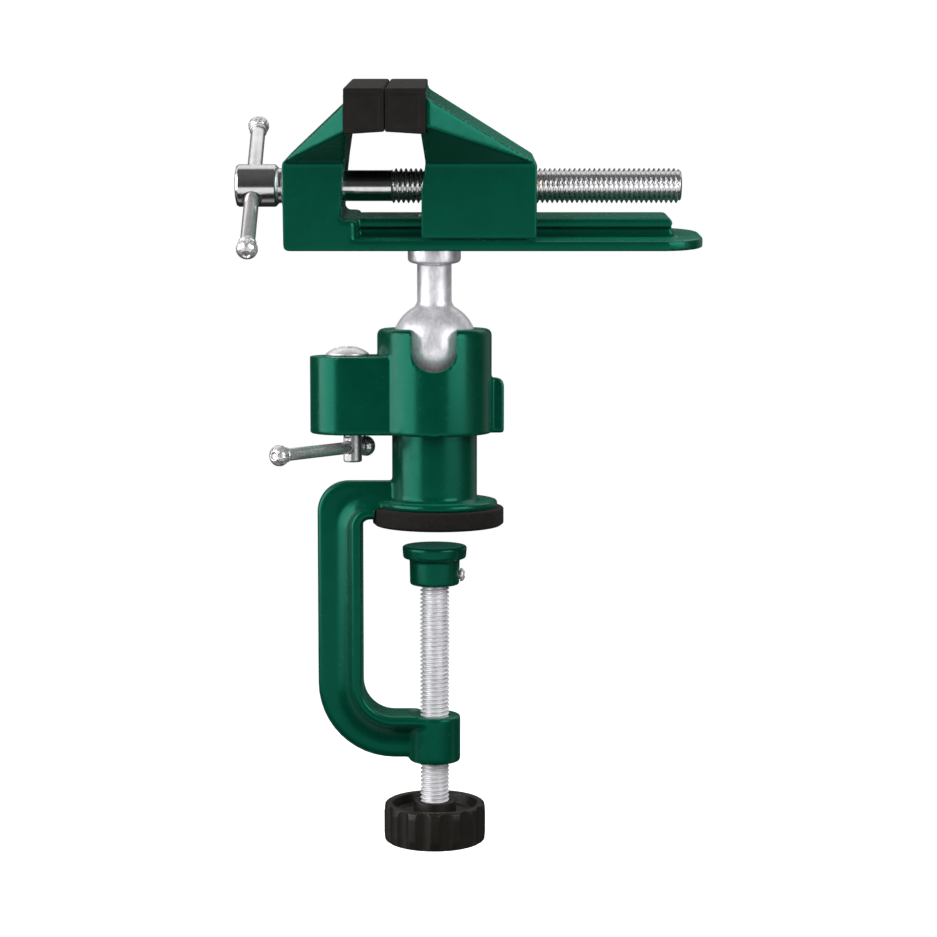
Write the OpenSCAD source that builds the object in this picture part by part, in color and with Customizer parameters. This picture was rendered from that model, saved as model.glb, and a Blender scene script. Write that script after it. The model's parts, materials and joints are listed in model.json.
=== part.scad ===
// Clamp-on bench vise with a ball joint. A casting clamps on the table and carries a column.
// A socket housing turns on the column and holds the ball of a stud. The vise head is bolted
// on the stud. The origin is on the column's axis at the underside of the rubber table pad,
// +X runs along the jaw screw away from its handle, the tilt notch faces -Y, and +Z is up.

/* [Table pad and disc] */
// Diameter of the rubber table pad
pad_dia = 54; // [46:0.5:55]
// Thickness of the rubber table pad
pad_thick = 7.5; // [6:0.5:9]
// Diameter of the cast disc over the pad
disc_dia = 51; // [46:0.5:54]
// Thickness of the cast disc
disc_thick = 3; // [2.5:0.25:4]
// Distance of the disc's centre from the column's axis, away from the arm
disc_shift = 1.5; // [0:0.25:2.5]
// Diameter of the spigot that locates the pad
spigot_dia = 24; // [16:0.5:30]
// Length of that spigot
spigot_len = 4; // [2:0.5:5]

/* [Clamp arm] */
// Distance from the column's axis to the inside of the arm
throat_depth = 29.8; // [29.2:0.1:36]
// Distance from the table face down to the lower arm
throat_height = 79; // [72:1:100]
// Depth of the arm's section, from the throat outwards
arm_depth = 18.5; // [17:0.5:20]
// Depth of the upper arm's section
top_arm_depth = 15.2; // [14.4:0.2:17]
// Height of the upper arm's underside over the table face
top_arm_lift = 3; // [2:0.5:4]
// Width of the rim along the throat
rim_width = 20; // [17:0.5:21]
// Thickness of that rim
rim_thick = 4; // [3:0.25:5]
// Thickness of the web outside the rim
web_thick = 8; // [7:0.5:10]
// Radius of the hollow between rim and web
hollow_r = 9; // [8.5:0.25:9.5]
// Radius of the throat's upper corner
throat_r_top = 3.3; // [2:0.1:3.6]
// Radius of the throat's lower corner
throat_r_low = 13; // [8:0.5:15]
// Radius of the arm's upper outer corner
corner_r = 12.5; // [9:0.5:14]
// Diameter of the threaded boss
boss_dia = 21.4; // [20.4:0.2:24]
// Length of the threaded boss
boss_len = 19.8; // [18:0.2:24]
// Depth of the boss's face below the lower arm's face
boss_drop = 0.5; // [0.2:0.1:1]

/* [Column] */
// Diameter of the column, and of the ball that passes the same bore
column_dia = 35; // [33:0.25:36]
// Fillet at the column's foot
column_fillet = 3; // [1:0.5:4]
// Chamfer at the column's top
column_chamfer = 1; // [0.5:0.25:2]
// Thickness of the ball seat under the ball
seat_floor = 3.7; // [3:0.1:5]
// Height of the ball seat
seat_height = 7.9; // [6:0.1:9]

/* [Clamp spindle] */
// Diameter of the clamp spindle's thread
spindle_dia = 12; // [10.5:0.25:13]
// Length of spindle between the swivel pad and the knob
spindle_show = 92; // [88:1:130]
// Diameter of the spindle's end in the swivel pad
journal_dia = 10; // [8.5:0.25:10.25]
// Depth of that end in the swivel pad
journal_len = 12.8; // [11:0.2:13]
// Diameter of the spindle in its keeper groove
groove_dia = 7; // [5:0.25:7.5]
// Width of the keeper groove
groove_width = 4.6; // [4.4:0.1:5]
// Depth of the spindle in the knob
spindle_grip = 12; // [8:0.5:14]

/* [Swivel pad] */
// Gap between the rubber pad and the swivel pad as photographed
swivel_gap = 8.8; // [2:0.2:12]
// Diameter of the swivel pad's face
swivel_dia = 26.8; // [24:0.2:32]
// Thickness of the swivel pad's flange
swivel_flange = 5.2; // [4:0.2:6]
// Diameter of the swivel pad's hub
swivel_hub_dia = 20.8; // [18:0.2:23]
// Length of the hub below the flange
swivel_hub_len = 11; // [10.6:0.2:14]
// Distance from the hub's lower end up to the keeper screw
keeper_lift = 4; // [3.4:0.1:5]
// Diameter of the keeper screw
keeper_dia = 4; // [3:0.25:4.25]
// Diameter of the keeper screw's head
keeper_head_dia = 5.4; // [5:0.2:6.4]
// Height of the keeper screw's head
keeper_head_height = 2; // [1.2:0.1:2.6]

/* [Clamp knob] */
// Diameter of the clamp knob
knob_dia = 43; // [36:0.5:50]
// Height of the clamp knob
knob_height = 16; // [15:0.5:22]
// Number of flutes round the knob
flute_count = 14; // [10:1:16]
// Radius of a flute
flute_r = 4; // [3:0.25:4.5]
// Depth of a flute
flute_depth = 1.4; // [0.8:0.1:1.8]
// Diameter of the recess in the knob's top
recess_dia = 35; // [28:0.5:35]
// Depth of that recess
recess_depth = 3; // [1.5:0.25:4]
// Diameter of the hub inside the recess
knob_hub_dia = 18; // [16:0.5:22]

/* [Socket housing] */
// Diameter of the socket housing
housing_dia = 47; // [45:0.5:50]
// Height of the housing's underside over the table face
housing_lift = 38; // [36:0.5:39]
// Height of the housing
housing_height = 43; // [42:0.5:45]
// Height of the ball's centre over the housing's underside
ball_lift = 36.3; // [35.5:0.1:38]
// Width of the tilt notch
notch_width = 18; // [16:0.5:20]
// Distance from the ball's centre down to the notch's bottom
notch_drop = 11.6; // [9.5:0.1:13]
// Distance from the column's axis to the lock shaft
lug_reach = 35.7; // [35.2:0.1:37]
// Diameter of the lug's rounded end
lug_dia = 30.8; // [28:0.2:32]
// Height of the lug
lug_height = 31.7; // [31:0.1:34]
// Reach of the rib opposite the lug, from the column's axis
rib_reach = 28.6; // [27.6:0.2:31]
// Thickness of the rib
rib_thick = 6; // [4:0.5:9]
// Height of the rib
rib_height = 22.6; // [16:0.2:28]
// Distance of the rib behind the middle plane
rib_shift = 2; // [0:0.5:4]
// Rounding of the rib's upper corner
rib_round = 3; // [1:0.5:4]

/* [Lock shaft] */
// Diameter of the lock shaft's lower journal
low_journal_dia = 14; // [13.75:0.25:15]
// Length of the lower journal
low_journal_len = 5.8; // [5:0.2:7]
// Diameter of the lock shaft's upper journal
top_journal_dia = 10; // [8:0.25:10.5]
// Diameter of the eccentric lobe
lobe_dia = 9.6; // [9:0.2:9.6]
// Throw of the eccentric lobe
lobe_throw = 2; // [1.4:0.1:2]
// Length of the eccentric lobe
lobe_len = 18; // [16:0.5:18.5]
// Diameter of the eye below the lug
eye_dia = 7.6; // [7:0.2:9]
// Distance from the housing's underside down to the eye's lower end
eye_drop = 12; // [10:0.5:14]
// Diameter of the shaft screw
shaft_screw_dia = 5; // [4:0.25:6]
// Length of the shaft screw under its head
shaft_screw_len = 6.5; // [4:0.25:7]
// Diameter of the shaft screw's domed head
dome_dia = 17.6; // [14:0.2:20]
// Height of the domed head
dome_height = 4; // [2.5:0.25:5]
// Width of the cross slots in the domed head
slot_width = 2; // [1.4:0.1:2.6]
// Depth of the cross slots
slot_depth = 1.6; // [1:0.1:2]
// Length of the cross slots
slot_len = 9; // [7:0.5:11]

/* [Lock shoe] */
// Width of the lock shoe
shoe_width = 13.8; // [12:0.2:16]
// Height of the lock shoe
shoe_height = 23.5; // [21:0.5:24]
// Distance from the column's axis to the tip of the shoe's nose
shoe_nose = 13; // [12.4:0.1:14]
// Gap between the lobe and the shoe with the lever locked
lobe_gap = 0.1; // [0.08:0.01:0.15]
// Room for the shoe to draw back
shoe_draw = 0.8; // [0.7:0.1:1]

/* [Lever] */
// Distance from the housing's underside down to the lever's axis
lever_drop = 6; // [5:0.5:7]
// Diameter of the lever
lever_dia = 5; // [4:0.25:5.25]
// Diameter of the lever's end knobs
lever_knob_dia = 8.5; // [7.5:0.25:9.5]
// Distance from the eye to the far knob's centre
lever_reach = 45.8; // [36:0.5:46]
// Play between the eye and the near knob
lever_play = 0.4; // [0.1:0.05:1]
// Angle of the lever in front of the plane through both axes
lever_angle = 53.3; // [45:0.5:65]

/* [Ball stud] */
// Height of the head's underside over the ball's centre
stud_height = 41.2; // [40:0.2:46]
// Diameter of the stud's neck
neck_dia = 14; // [13:0.25:14.5]
// Diameter of the stud's flange
flange_dia = 21.6; // [19:0.2:24]
// Thickness of the stud's flange
flange_thick = 5.9; // [4:0.1:7]
// Diameter of the bolt that holds the head
bolt_dia = 8; // [6:0.25:8]
// Length of that bolt below the plate
bolt_grip = 17; // [12:0.5:20]
// Diameter of the bolt's head
bolt_head_dia = 13; // [12:0.25:13.5]
// Height of the bolt's head
bolt_head_height = 5; // [4:0.25:5.4]
// Width across flats of the bolt's socket
bolt_socket = 6; // [4:0.5:6.5]
// Depth of the bolt's socket
bolt_socket_depth = 3; // [2:0.25:3.5]

/* [Head plate and rail] */
// Tilt of the head towards the notch
head_tilt = 7; // [0:1:12]
// Width of the head's base plate and jaw blocks
head_width = 48; // [44:0.5:52]
// Thickness of the base plate
plate_thick = 4.2; // [3.5:0.1:5.5]
// Distance from the stud's axis to the base plate's rear end
plate_rear = 59.6; // [57:0.2:64]
// Distance from the stud's axis to the base plate's front end
plate_front = 108.9; // [104:0.2:115]
// Radius of the plate's front corners
plate_corner = 10; // [5:0.5:14]
// Rounding of the plate's rear lower edge
plate_round = 1.6; // [0.8:0.1:2.4]
// Distance from the stud's axis to the rail's end
rail_end = 95.2; // [93:0.2:100]
// Fillet between the rail's end and the plate
rail_fillet = 5; // [2:0.5:7]
// Width of the rail's head
rail_width = 26; // [24:0.5:30]
// Thickness of the rail's head
rail_head = 3.4; // [3:0.1:4]
// Width of the rail's web
rail_web = 19; // [17:0.5:21]
// Height of the rail's web over the plate
rail_gap = 4.2; // [4:0.1:5]

/* [Jaws] */
// Position of the closed jaw faces along the screw, from the stud's axis
grip_x = -18.7; // [-19.5:0.1:-18]
// Height of the jaw blocks over the rail
block_rise = 22.8; // [21:0.2:24]
// Height of the caps' underside over the rail
cap_rise = 35; // [33:0.5:38]
// Width of the jaws at the caps
jaw_width = 75; // [66:0.5:80]
// Length of the caps along the jaws
cap_len = 77; // [76:0.5:82]
// Height of the caps
cap_height = 17.7; // [16.5:0.1:20]
// Depth of one cap
cap_depth = 15.8; // [14:0.2:16.4]
// Wall of the caps
cap_wall = 1.9; // [1.5:0.1:2.4]
// Rise of the caps' underside towards the parting
cap_slope = 1; // [0:0.1:1.2]
// Chamfer along the caps' upper inner edges
cap_chamfer = 1; // [0.5:0.1:1.5]
// Gap between the two closed caps
cap_gap = 0.3; // [0.1:0.05:0.6]
// Height of the fixed jaw's lower wing edge over the caps' underside
fixed_wing_low = 0.5; // [0.2:0.1:1.5]
// Height of the fixed jaw's upper wing edge over the caps' underside
fixed_wing_top = 11; // [9:0.5:13]
// Height of the moving jaw's lower wing edge over the caps' underside
moving_wing_low = 2.8; // [1:0.1:4]
// Height of the moving jaw's upper wing edge over the caps' underside
moving_wing_top = 14; // [12:0.5:15]
// Reach of the fixed jaw's foot beyond its inner face
foot_reach = 6.6; // [4:0.2:8]
// Lean of the jaws' inner faces under the caps
jaw_lean = 2.2; // [1:0.1:2.6]
// Distance of the fixed jaw's inner face behind the cap's rear edge
fixed_set_back = 2.3; // [1.6:0.1:3]
// Distance of the moving jaw's inner face before the cap's rear edge
moving_set_on = 2.2; // [1.4:0.1:3]
// Length of the moving jaw's block behind its cap
block_len = 43.3; // [40:0.5:46]
// Gap between the moving jaw and the base plate
skirt_gap = 0.8; // [0.4:0.1:1.2]

/* [Jaw screw] */
// Height of the jaw screw's axis over the rail
screw_lift = 11.9; // [11.2:0.1:12.6]
// Diameter of the jaw screw's thread
thread_dia = 14; // [13:0.25:15]
// Diameter of the jaw screw's smooth shank
shank_dia = 12.4; // [11.5:0.1:12.6]
// Distance from the stud's axis to the start of the thread
thread_start = -17.3; // [-24:0.1:-12]
// Distance from the stud's axis to the end of the thread
thread_end = 99.4; // [95:0.2:104]
// Chamfer at the thread's end
thread_chamfer = 1.2; // [0.5:0.1:1.6]
// Diameter of the screw's hub
hub_dia = 17; // [16:0.25:20]
// Length of the screw's hub
hub_len = 17.4; // [14:0.2:20]
// Chamfer at the hub's ends
hub_chamfer = 1.3; // [0.5:0.1:2]
// Length of the collar between hub and washer
collar_len = 1.4; // [1:0.1:2]
// Thickness of the thrust washer
washer_thick = 1.4; // [1:0.1:2]
// Diameter of the thrust washer
washer_dia = 17; // [16.5:0.25:22]
// Diameter of the screw in the ring's groove
ring_groove_dia = 12; // [11.5:0.1:12.4]
// Thickness of the retaining ring
ring_thick = 1.2; // [1:0.1:1.5]
// Outer diameter of the retaining ring
ring_dia = 19; // [17:0.25:20]
// Opening of the retaining ring
ring_opening = 4; // [3:0.25:5]
// Depth of the counterbore for the ring, from the jaw's inner face
ring_depth = 4; // [3:0.1:5]
// Diameter of the lead nut
nut_dia = 20; // [18:0.25:21]
// Length of the lead nut
nut_len = 18; // [14:0.5:24]
// Diameter of the clear hole through the moving jaw
clear_dia = 15.4; // [15.2:0.1:16]

/* [T handle] */
// Diameter of the handle bar
handle_dia = 6; // [5:0.25:6.5]
// Distance between the end knobs' centres
handle_span = 77; // [60:0.5:90]
// Diameter of the end knobs
handle_knob_dia = 8.7; // [8:0.1:10]
// Distance from the hub's outer end to the bar
handle_set = 6.9; // [5.5:0.1:8]
// Angle of the bar below the plate's plane, on the notch side
handle_angle = 34.4; // [0:0.2:90]

/* [Fits] */
// Radial play of a running fit
slip = 0.05; // [0.03:0.01:0.08]
// Play between flat faces that slide or slip together
slide_gap = 0.1; // [0.06:0.01:0.15]
// Gap between parts that don't touch
loose_gap = 0.3; // [0.25:0.05:0.4]

/* [Hidden] */
$fn = 72;

// Overrun of every cut
over = 1;

cast_green = "#00553c";
rubber_black = "#2a2726";
plastic_black = "#1b1b19";
bright_steel = "#c8c8cc";
zinc_steel = "#b4b4b0";
raw_alloy = "#b9b8bd";
nut_brass = "#b08d4a";

// Table clamp
column_r = column_dia / 2;
column_foot = pad_thick + disc_thick;
ball_height = housing_lift + ball_lift;
column_top = ball_height - column_r - seat_floor;
seat_top = column_top + seat_height;
corner_x = throat_r_top - throat_depth;
corner_z = top_arm_lift - throat_r_top;
arm_top = top_arm_lift + top_arm_depth;
bend_x = throat_r_low - throat_depth;
bend_z = throat_r_low - throat_height;
hollow_x = rim_thick + sqrt(pow(hollow_r, 2) - pow((web_thick - rim_width) / 2 + hollow_r, 2));
hollow_y = web_thick / 2 + hollow_r;
boss_top = -throat_height - boss_drop;

// Spindle and swivel pad
swivel_top = -swivel_gap;
hub_top = swivel_top - swivel_flange;
hub_low = hub_top - swivel_hub_len;
keeper_z = hub_low + keeper_lift;
keeper_slot_len = keeper_head_dia * 2 / 3;
keeper_slot_width = keeper_head_dia / 6;
knob_top = hub_low - spindle_show;

// Socket and lock
bore_r = column_r + slip;
housing_top = housing_lift + housing_height;
notch_z = ball_height - notch_drop + notch_width / 2;
journal_foot = housing_lift + slide_gap;
lobe_foot = journal_foot + low_journal_len;
lobe_top = lobe_foot + lobe_len;
lug_top = housing_lift + lug_height;
shoe_foot = lobe_foot + slide_gap;
shoe_back = lug_reach - lobe_throw - lobe_dia / 2 - lobe_gap;
eye_x = lobe_throw - lug_reach;
eye_foot = housing_lift - eye_drop;
lever_height = housing_lift - lever_drop;
lever_near = (eye_dia + lever_knob_dia) / 2 + lever_play;
lever_spigot_dia = lever_dia / 2;
dome_r = (pow(dome_dia / 2, 2) + pow(dome_height, 2)) / (2 * dome_height);

// Head, from the ball's centre
plate_z = stud_height;
plate_top = plate_z + plate_thick;
web_top = plate_top + rail_gap;
rail_top = web_top + rail_head;
block_top = rail_top + block_rise;
cap_low = rail_top + cap_rise;
cap_top = cap_low + cap_height;
screw_z = rail_top + screw_lift;
fixed_cap_x = grip_x - cap_gap / 2 - cap_depth;
moving_cap_x = grip_x + cap_gap / 2 + cap_depth;
fixed_face_x = fixed_cap_x - slide_gap;
moving_face_x = moving_cap_x + slide_gap;
fixed_inner_x = fixed_face_x - fixed_set_back;
moving_inner_x = moving_face_x - moving_set_on;
foot_x = fixed_inner_x + foot_reach;
block_end = moving_face_x + block_len;
skirt_z = plate_top + skirt_gap;
head_span = 2 * (plate_front + plate_rear);
nose_len = cap_depth - cap_wall;
nose_low = cap_low + cap_wall + slide_gap;
nose_height = cap_height - 2 * (cap_wall + slide_gap);
nose_width = cap_len - 2 * (cap_wall + slide_gap);

// Jaw screw
washer_x = -plate_rear - slide_gap - washer_thick;
collar_x = washer_x - slide_gap - collar_len;
hub_x = collar_x - hub_len;
handle_x = hub_x + handle_set;
ring_x = fixed_inner_x - ring_depth + slide_gap;
journal_end = ring_x + 2 * ring_thick;
nut_x = block_end - nut_len;
handle_spigot_dia = handle_dia / 2;

// Places its children in the tilted head's frame, whose origin is the ball's centre
module in_head() {
    translate([0, 0, ball_height]) rotate([head_tilt, 0, 0]) children();
}

// A side outline in X and Z, made into a plate centred on the middle plane
module side_plate(width) {
    rotate([90, 0, 0]) linear_extrude(width, center = true) children();
}

// A round bar along X from x, centred on a height z
module bar_x(x, z, d, len) {
    translate([x, 0, z]) rotate([0, 90, 0]) cylinder(d = d, h = len);
}

// Length from a ball's centre to where its section is as wide as the bar
function flat_at(ball_d, bar_d) = sqrt(pow(ball_d / 2, 2) - pow(bar_d / 2, 2));

// End knob about its centre, with its bar coming along +Z from below
module end_knob(ball_d, bar_d, spigot_d) {
    color(bright_steel) difference() {
        sphere(d = ball_d);
        translate([0, 0, -ball_d - flat_at(ball_d, bar_d)]) cylinder(d = 2 * ball_d, h = ball_d);
        translate([0, 0, -ball_d]) cylinder(d = spigot_d + 2 * slip, h = ball_d + spigot_d / 2);
    }
}

// Bar along Z with a spigot in each end knob; low and high are the knobs' centres
module knobbed_bar(low, high, ball_d, bar_d, spigot_d) {
    step = flat_at(ball_d, bar_d);
    color(bright_steel) {
        translate([0, 0, low + step]) cylinder(d = bar_d, h = high - low - 2 * step);
        translate([0, 0, low - spigot_d / 4]) cylinder(d = spigot_d, h = high - low + spigot_d / 2);
    }
}

// Section of the clamp arm: x from the throat outwards, y across
module arm_section(depth) {
    difference() {
        translate([0, -rim_width / 2]) square([depth, rim_width]);
        for (side = [0, 1]) mirror([0, side]) {
            translate([hollow_x, hollow_y]) circle(hollow_r);
            translate([hollow_x, web_thick / 2]) square([depth, rim_width]);
        }
    }
}

// Outline of the web round the arm's upper outer corner
module corner_outline() {
    outer_x = corner_r - throat_depth - arm_depth;
    outer_z = arm_top - corner_r;
    difference() {
        union() {
            intersection() {
                translate([outer_x, outer_z]) circle(corner_r);
                translate([outer_x - corner_r, outer_z]) square(corner_r);
            }
            translate([outer_x - corner_r, corner_z]) square([corner_r, outer_z - corner_z]);
            translate([outer_x, corner_z]) square([corner_x - outer_x, arm_top - corner_z]);
        }
        translate([corner_x, corner_z]) circle(throat_r_top);
    }
}

module clamp_arm() {
    translate([-throat_depth, 0, bend_z]) mirror([1, 0, 0])
        linear_extrude(corner_z - bend_z) arm_section(arm_depth);
    translate([bend_x, 0, -throat_height]) rotate([0, 90, 0])
        linear_extrude(-bend_x) arm_section(arm_depth);
    translate([bend_x, 0, bend_z]) rotate([90, 0, 0]) rotate([0, 0, 180])
        rotate_extrude(angle = 90) translate([throat_r_low, 0]) arm_section(arm_depth);
    translate([corner_x, 0, corner_z]) rotate([90, 0, 0]) rotate([0, 0, 90])
        rotate_extrude(angle = 90) translate([throat_r_top, 0]) arm_section(top_arm_depth);
    side_plate(web_thick) corner_outline();
    translate([corner_x, 0, top_arm_lift]) mirror([0, 0, 1]) rotate([0, 90, 0])
        linear_extrude(-corner_x - column_r / 2) arm_section(top_arm_depth);
}

module column() {
    translate([0, 0, pad_thick]) cylinder(r = column_r, h = column_top - column_chamfer - pad_thick);
    translate([0, 0, column_top - column_chamfer])
        cylinder(r1 = column_r, r2 = column_r - column_chamfer, h = column_chamfer);
    translate([0, 0, column_foot]) rotate_extrude() difference() {
        square([column_r + column_fillet, column_fillet]);
        translate([column_r + column_fillet, column_fillet]) circle(column_fillet);
    }
}

module clamp_frame() {
    color(cast_green) difference() {
        union() {
            difference() {
                clamp_arm();
                translate([disc_shift, 0, -over])
                    cylinder(d = pad_dia + 2 * loose_gap, h = pad_thick + over);
                translate([0, 0, boss_top]) cylinder(d = boss_dia, h = boss_len);
            }
            translate([disc_shift, 0, pad_thick]) cylinder(d = disc_dia, h = disc_thick);
            translate([disc_shift, 0, pad_thick - spigot_len])
                cylinder(d = spigot_dia, h = spigot_len);
            column();
            translate([0, 0, boss_top - boss_len]) cylinder(d = boss_dia, h = boss_len);
        }
        translate([0, 0, boss_top - boss_len - over])
            cylinder(d = spindle_dia + 2 * slip, h = boss_len + 2 * over);
    }
}

module table_pad() {
    color(rubber_black) translate([disc_shift, 0, 0]) difference() {
        cylinder(d = pad_dia, h = pad_thick);
        translate([0, 0, pad_thick - spigot_len - slide_gap])
            cylinder(d = spigot_dia + 2 * slide_gap, h = spigot_len + over);
    }
}

module ball_seat() {
    color(nut_brass) difference() {
        translate([0, 0, column_top]) cylinder(r = column_r - loose_gap, h = seat_height);
        translate([0, 0, ball_height]) sphere(r = bore_r);
    }
}

module clamp_spindle() {
    top = hub_low + journal_len;
    low = knob_top - spindle_grip;
    color(zinc_steel) difference() {
        union() {
            translate([0, 0, low]) cylinder(d = spindle_dia, h = hub_low - low - slide_gap);
            translate([0, 0, low]) cylinder(d = journal_dia, h = top - low);
        }
        translate([0, 0, keeper_z - groove_width / 2]) difference() {
            cylinder(d = journal_dia + over, h = groove_width);
            cylinder(d = groove_dia, h = groove_width);
        }
    }
}

module swivel_pad() {
    color(cast_green) difference() {
        union() {
            translate([0, 0, hub_top]) cylinder(d = swivel_dia, h = swivel_flange);
            translate([0, 0, hub_low]) cylinder(d = swivel_hub_dia, h = swivel_hub_len);
        }
        translate([0, 0, hub_low - over])
            cylinder(d = journal_dia + 2 * slip, h = journal_len + slide_gap + over);
        bar_x(0, keeper_z, keeper_dia + 2 * slip, swivel_hub_dia);
    }
}

module pad_keeper_screw() {
    tip = groove_dia / 2 + loose_gap;
    seat = swivel_hub_dia / 2 + slide_gap;
    color(bright_steel) difference() {
        union() {
            bar_x(tip, keeper_z, keeper_dia, seat - tip);
            bar_x(seat, keeper_z, keeper_head_dia, keeper_head_height);
        }
        for (turn = [0, 90]) translate([seat + keeper_head_height, 0, keeper_z]) rotate([turn, 0, 0])
            cube([keeper_head_height, keeper_slot_len, keeper_slot_width], center = true);
    }
}

module clamp_knob() {
    color(plastic_black) difference() {
        translate([0, 0, knob_top - knob_height]) cylinder(d = knob_dia, h = knob_height);
        for (i = [0 : flute_count - 1]) rotate([0, 0, i * 360 / flute_count])
            translate([knob_dia / 2 + flute_r - flute_depth, 0, knob_top - knob_height - over])
                cylinder(r = flute_r, h = knob_height + 2 * over);
        translate([0, 0, knob_top - recess_depth]) difference() {
            cylinder(d = recess_dia, h = recess_depth + over);
            cylinder(d = knob_hub_dia, h = recess_depth + over);
        }
        translate([0, 0, knob_top - spindle_grip - slide_gap])
            cylinder(d = spindle_dia + 2 * slip, h = spindle_grip + slide_gap + over);
    }
}

module rib_outline() {
    difference() {
        translate([0, housing_lift]) square([rib_reach, rib_height]);
        translate([rib_reach - rib_round, housing_lift + rib_height - rib_round]) difference() {
            square(rib_round + over);
            circle(rib_round);
        }
    }
}

module socket_housing() {
    color(cast_green) difference() {
        union() {
            translate([0, 0, housing_lift]) cylinder(d = housing_dia, h = housing_height);
            translate([-lug_reach, 0, housing_lift]) cylinder(d = lug_dia, h = lug_height);
            translate([-lug_reach, -lug_dia / 2, housing_lift])
                cube([lug_reach, lug_dia, lug_height]);
            translate([0, rib_shift, 0]) side_plate(rib_thick) rib_outline();
        }
        translate([0, 0, housing_lift - over]) cylinder(r = bore_r, h = ball_height - housing_lift + over);
        translate([0, 0, ball_height]) sphere(r = bore_r);
        translate([0, 0, notch_z]) rotate([90, 0, 0]) cylinder(d = notch_width, h = housing_dia);
        translate([-notch_width / 2, -housing_dia, notch_z])
            cube([notch_width, housing_dia, housing_top - notch_z + over]);
        translate([-lug_reach, 0, housing_lift - over])
            cylinder(d = low_journal_dia + 2 * slip, h = lobe_top + slide_gap - housing_lift + over);
        translate([-lug_reach, 0, housing_lift])
            cylinder(d = top_journal_dia + 2 * slip, h = lug_height + over);
        translate([-shoe_back - shoe_draw, -shoe_width / 2 - slide_gap, shoe_foot - slide_gap])
            cube([shoe_back + shoe_draw, shoe_width + 2 * slide_gap, shoe_height + 2 * slide_gap]);
    }
}

module lock_shaft() {
    top = lug_top - slide_gap;
    color(zinc_steel) translate([-lug_reach, 0, 0]) difference() {
        union() {
            translate([lobe_throw, 0, eye_foot]) cylinder(d = eye_dia, h = journal_foot - eye_foot);
            translate([0, 0, journal_foot]) cylinder(d = low_journal_dia, h = low_journal_len);
            translate([lobe_throw, 0, lobe_foot]) cylinder(d = lobe_dia, h = lobe_len);
            translate([0, 0, lobe_top]) cylinder(d = top_journal_dia, h = top - lobe_top);
        }
        translate([lobe_throw, 0, lever_height]) rotate([0, 90, lever_angle])
            cylinder(d = lever_dia + 2 * slip, h = 2 * eye_dia, center = true);
        translate([0, 0, top - shaft_screw_len - slide_gap])
            cylinder(d = shaft_screw_dia + 2 * slip, h = shaft_screw_len + slide_gap + over);
    }
}

module lock_shaft_screw() {
    seat = lug_top + slide_gap;
    color(bright_steel) translate([-lug_reach, 0, 0]) difference() {
        union() {
            translate([0, 0, lug_top - slide_gap - shaft_screw_len])
                cylinder(d = shaft_screw_dia, h = shaft_screw_len + 2 * slide_gap);
            intersection() {
                translate([0, 0, seat + dome_height - dome_r]) sphere(dome_r);
                translate([0, 0, seat]) cylinder(d = dome_dia, h = dome_height);
            }
        }
        for (turn = [0, 90]) translate([0, 0, seat + dome_height]) rotate([0, 0, turn])
            cube([slot_len, slot_width, 2 * slot_depth], center = true);
    }
}

module lock_shoe() {
    color(zinc_steel) difference() {
        translate([-shoe_back, -shoe_width / 2, shoe_foot])
            cube([shoe_back - shoe_nose, shoe_width, shoe_height]);
        translate([0, 0, shoe_foot - over])
            cylinder(r = bore_r, h = seat_top + loose_gap - shoe_foot + over);
        translate([0, 0, ball_height]) sphere(r = bore_r);
    }
}

// Places its children with +Z along the lever, from the eye towards the far knob
module along_lever() {
    translate([eye_x, 0, lever_height]) rotate([0, -90, lever_angle]) children();
}

module lever_bar() {
    along_lever() knobbed_bar(-lever_near, lever_reach, lever_knob_dia, lever_dia, lever_spigot_dia);
}

module lever_knob_far() {
    along_lever() translate([0, 0, lever_reach])
        end_knob(lever_knob_dia, lever_dia, lever_spigot_dia);
}

module lever_knob_near() {
    along_lever() mirror([0, 0, 1]) translate([0, 0, lever_near])
        end_knob(lever_knob_dia, lever_dia, lever_spigot_dia);
}

module ball_stud() {
    color(raw_alloy) in_head() difference() {
        union() {
            sphere(column_r);
            cylinder(d = neck_dia, h = stud_height);
            translate([0, 0, stud_height - flange_thick]) cylinder(d = flange_dia, h = flange_thick);
        }
        translate([0, 0, stud_height - bolt_grip - slide_gap])
            cylinder(d = bolt_dia + 2 * slip, h = bolt_grip + slide_gap + over);
    }
}

module stud_bolt() {
    head_foot = rail_top - bolt_head_height - slide_gap;
    color(zinc_steel) in_head() difference() {
        union() {
            translate([0, 0, stud_height - bolt_grip])
                cylinder(d = bolt_dia, h = head_foot - stud_height + bolt_grip);
            translate([0, 0, head_foot]) cylinder(d = bolt_head_dia, h = bolt_head_height);
        }
        translate([0, 0, head_foot + bolt_head_height - bolt_socket_depth])
            cylinder(d = bolt_socket / cos(30), h = bolt_socket_depth + over, $fn = 6);
    }
}

// Widening of a jaw towards the cap, seen along the screw
module jaw_front(wing_low) {
    polygon([
        [-head_width / 2, 0], [head_width / 2, 0], [head_width / 2, block_top],
        [jaw_width / 2, cap_low + wing_low], [jaw_width / 2, cap_top],
        [-jaw_width / 2, cap_top], [-jaw_width / 2, cap_low + wing_low], [-head_width / 2, block_top]
    ]);
}

// Widening of a jaw towards the cap, seen from above, from the block's end to the far side
module jaw_plan(end_x, face_x, far_x) {
    polygon([
        [end_x, -head_width / 2], [face_x, -jaw_width / 2], [far_x, -jaw_width / 2],
        [far_x, jaw_width / 2], [face_x, jaw_width / 2], [end_x, head_width / 2]
    ]);
}

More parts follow.
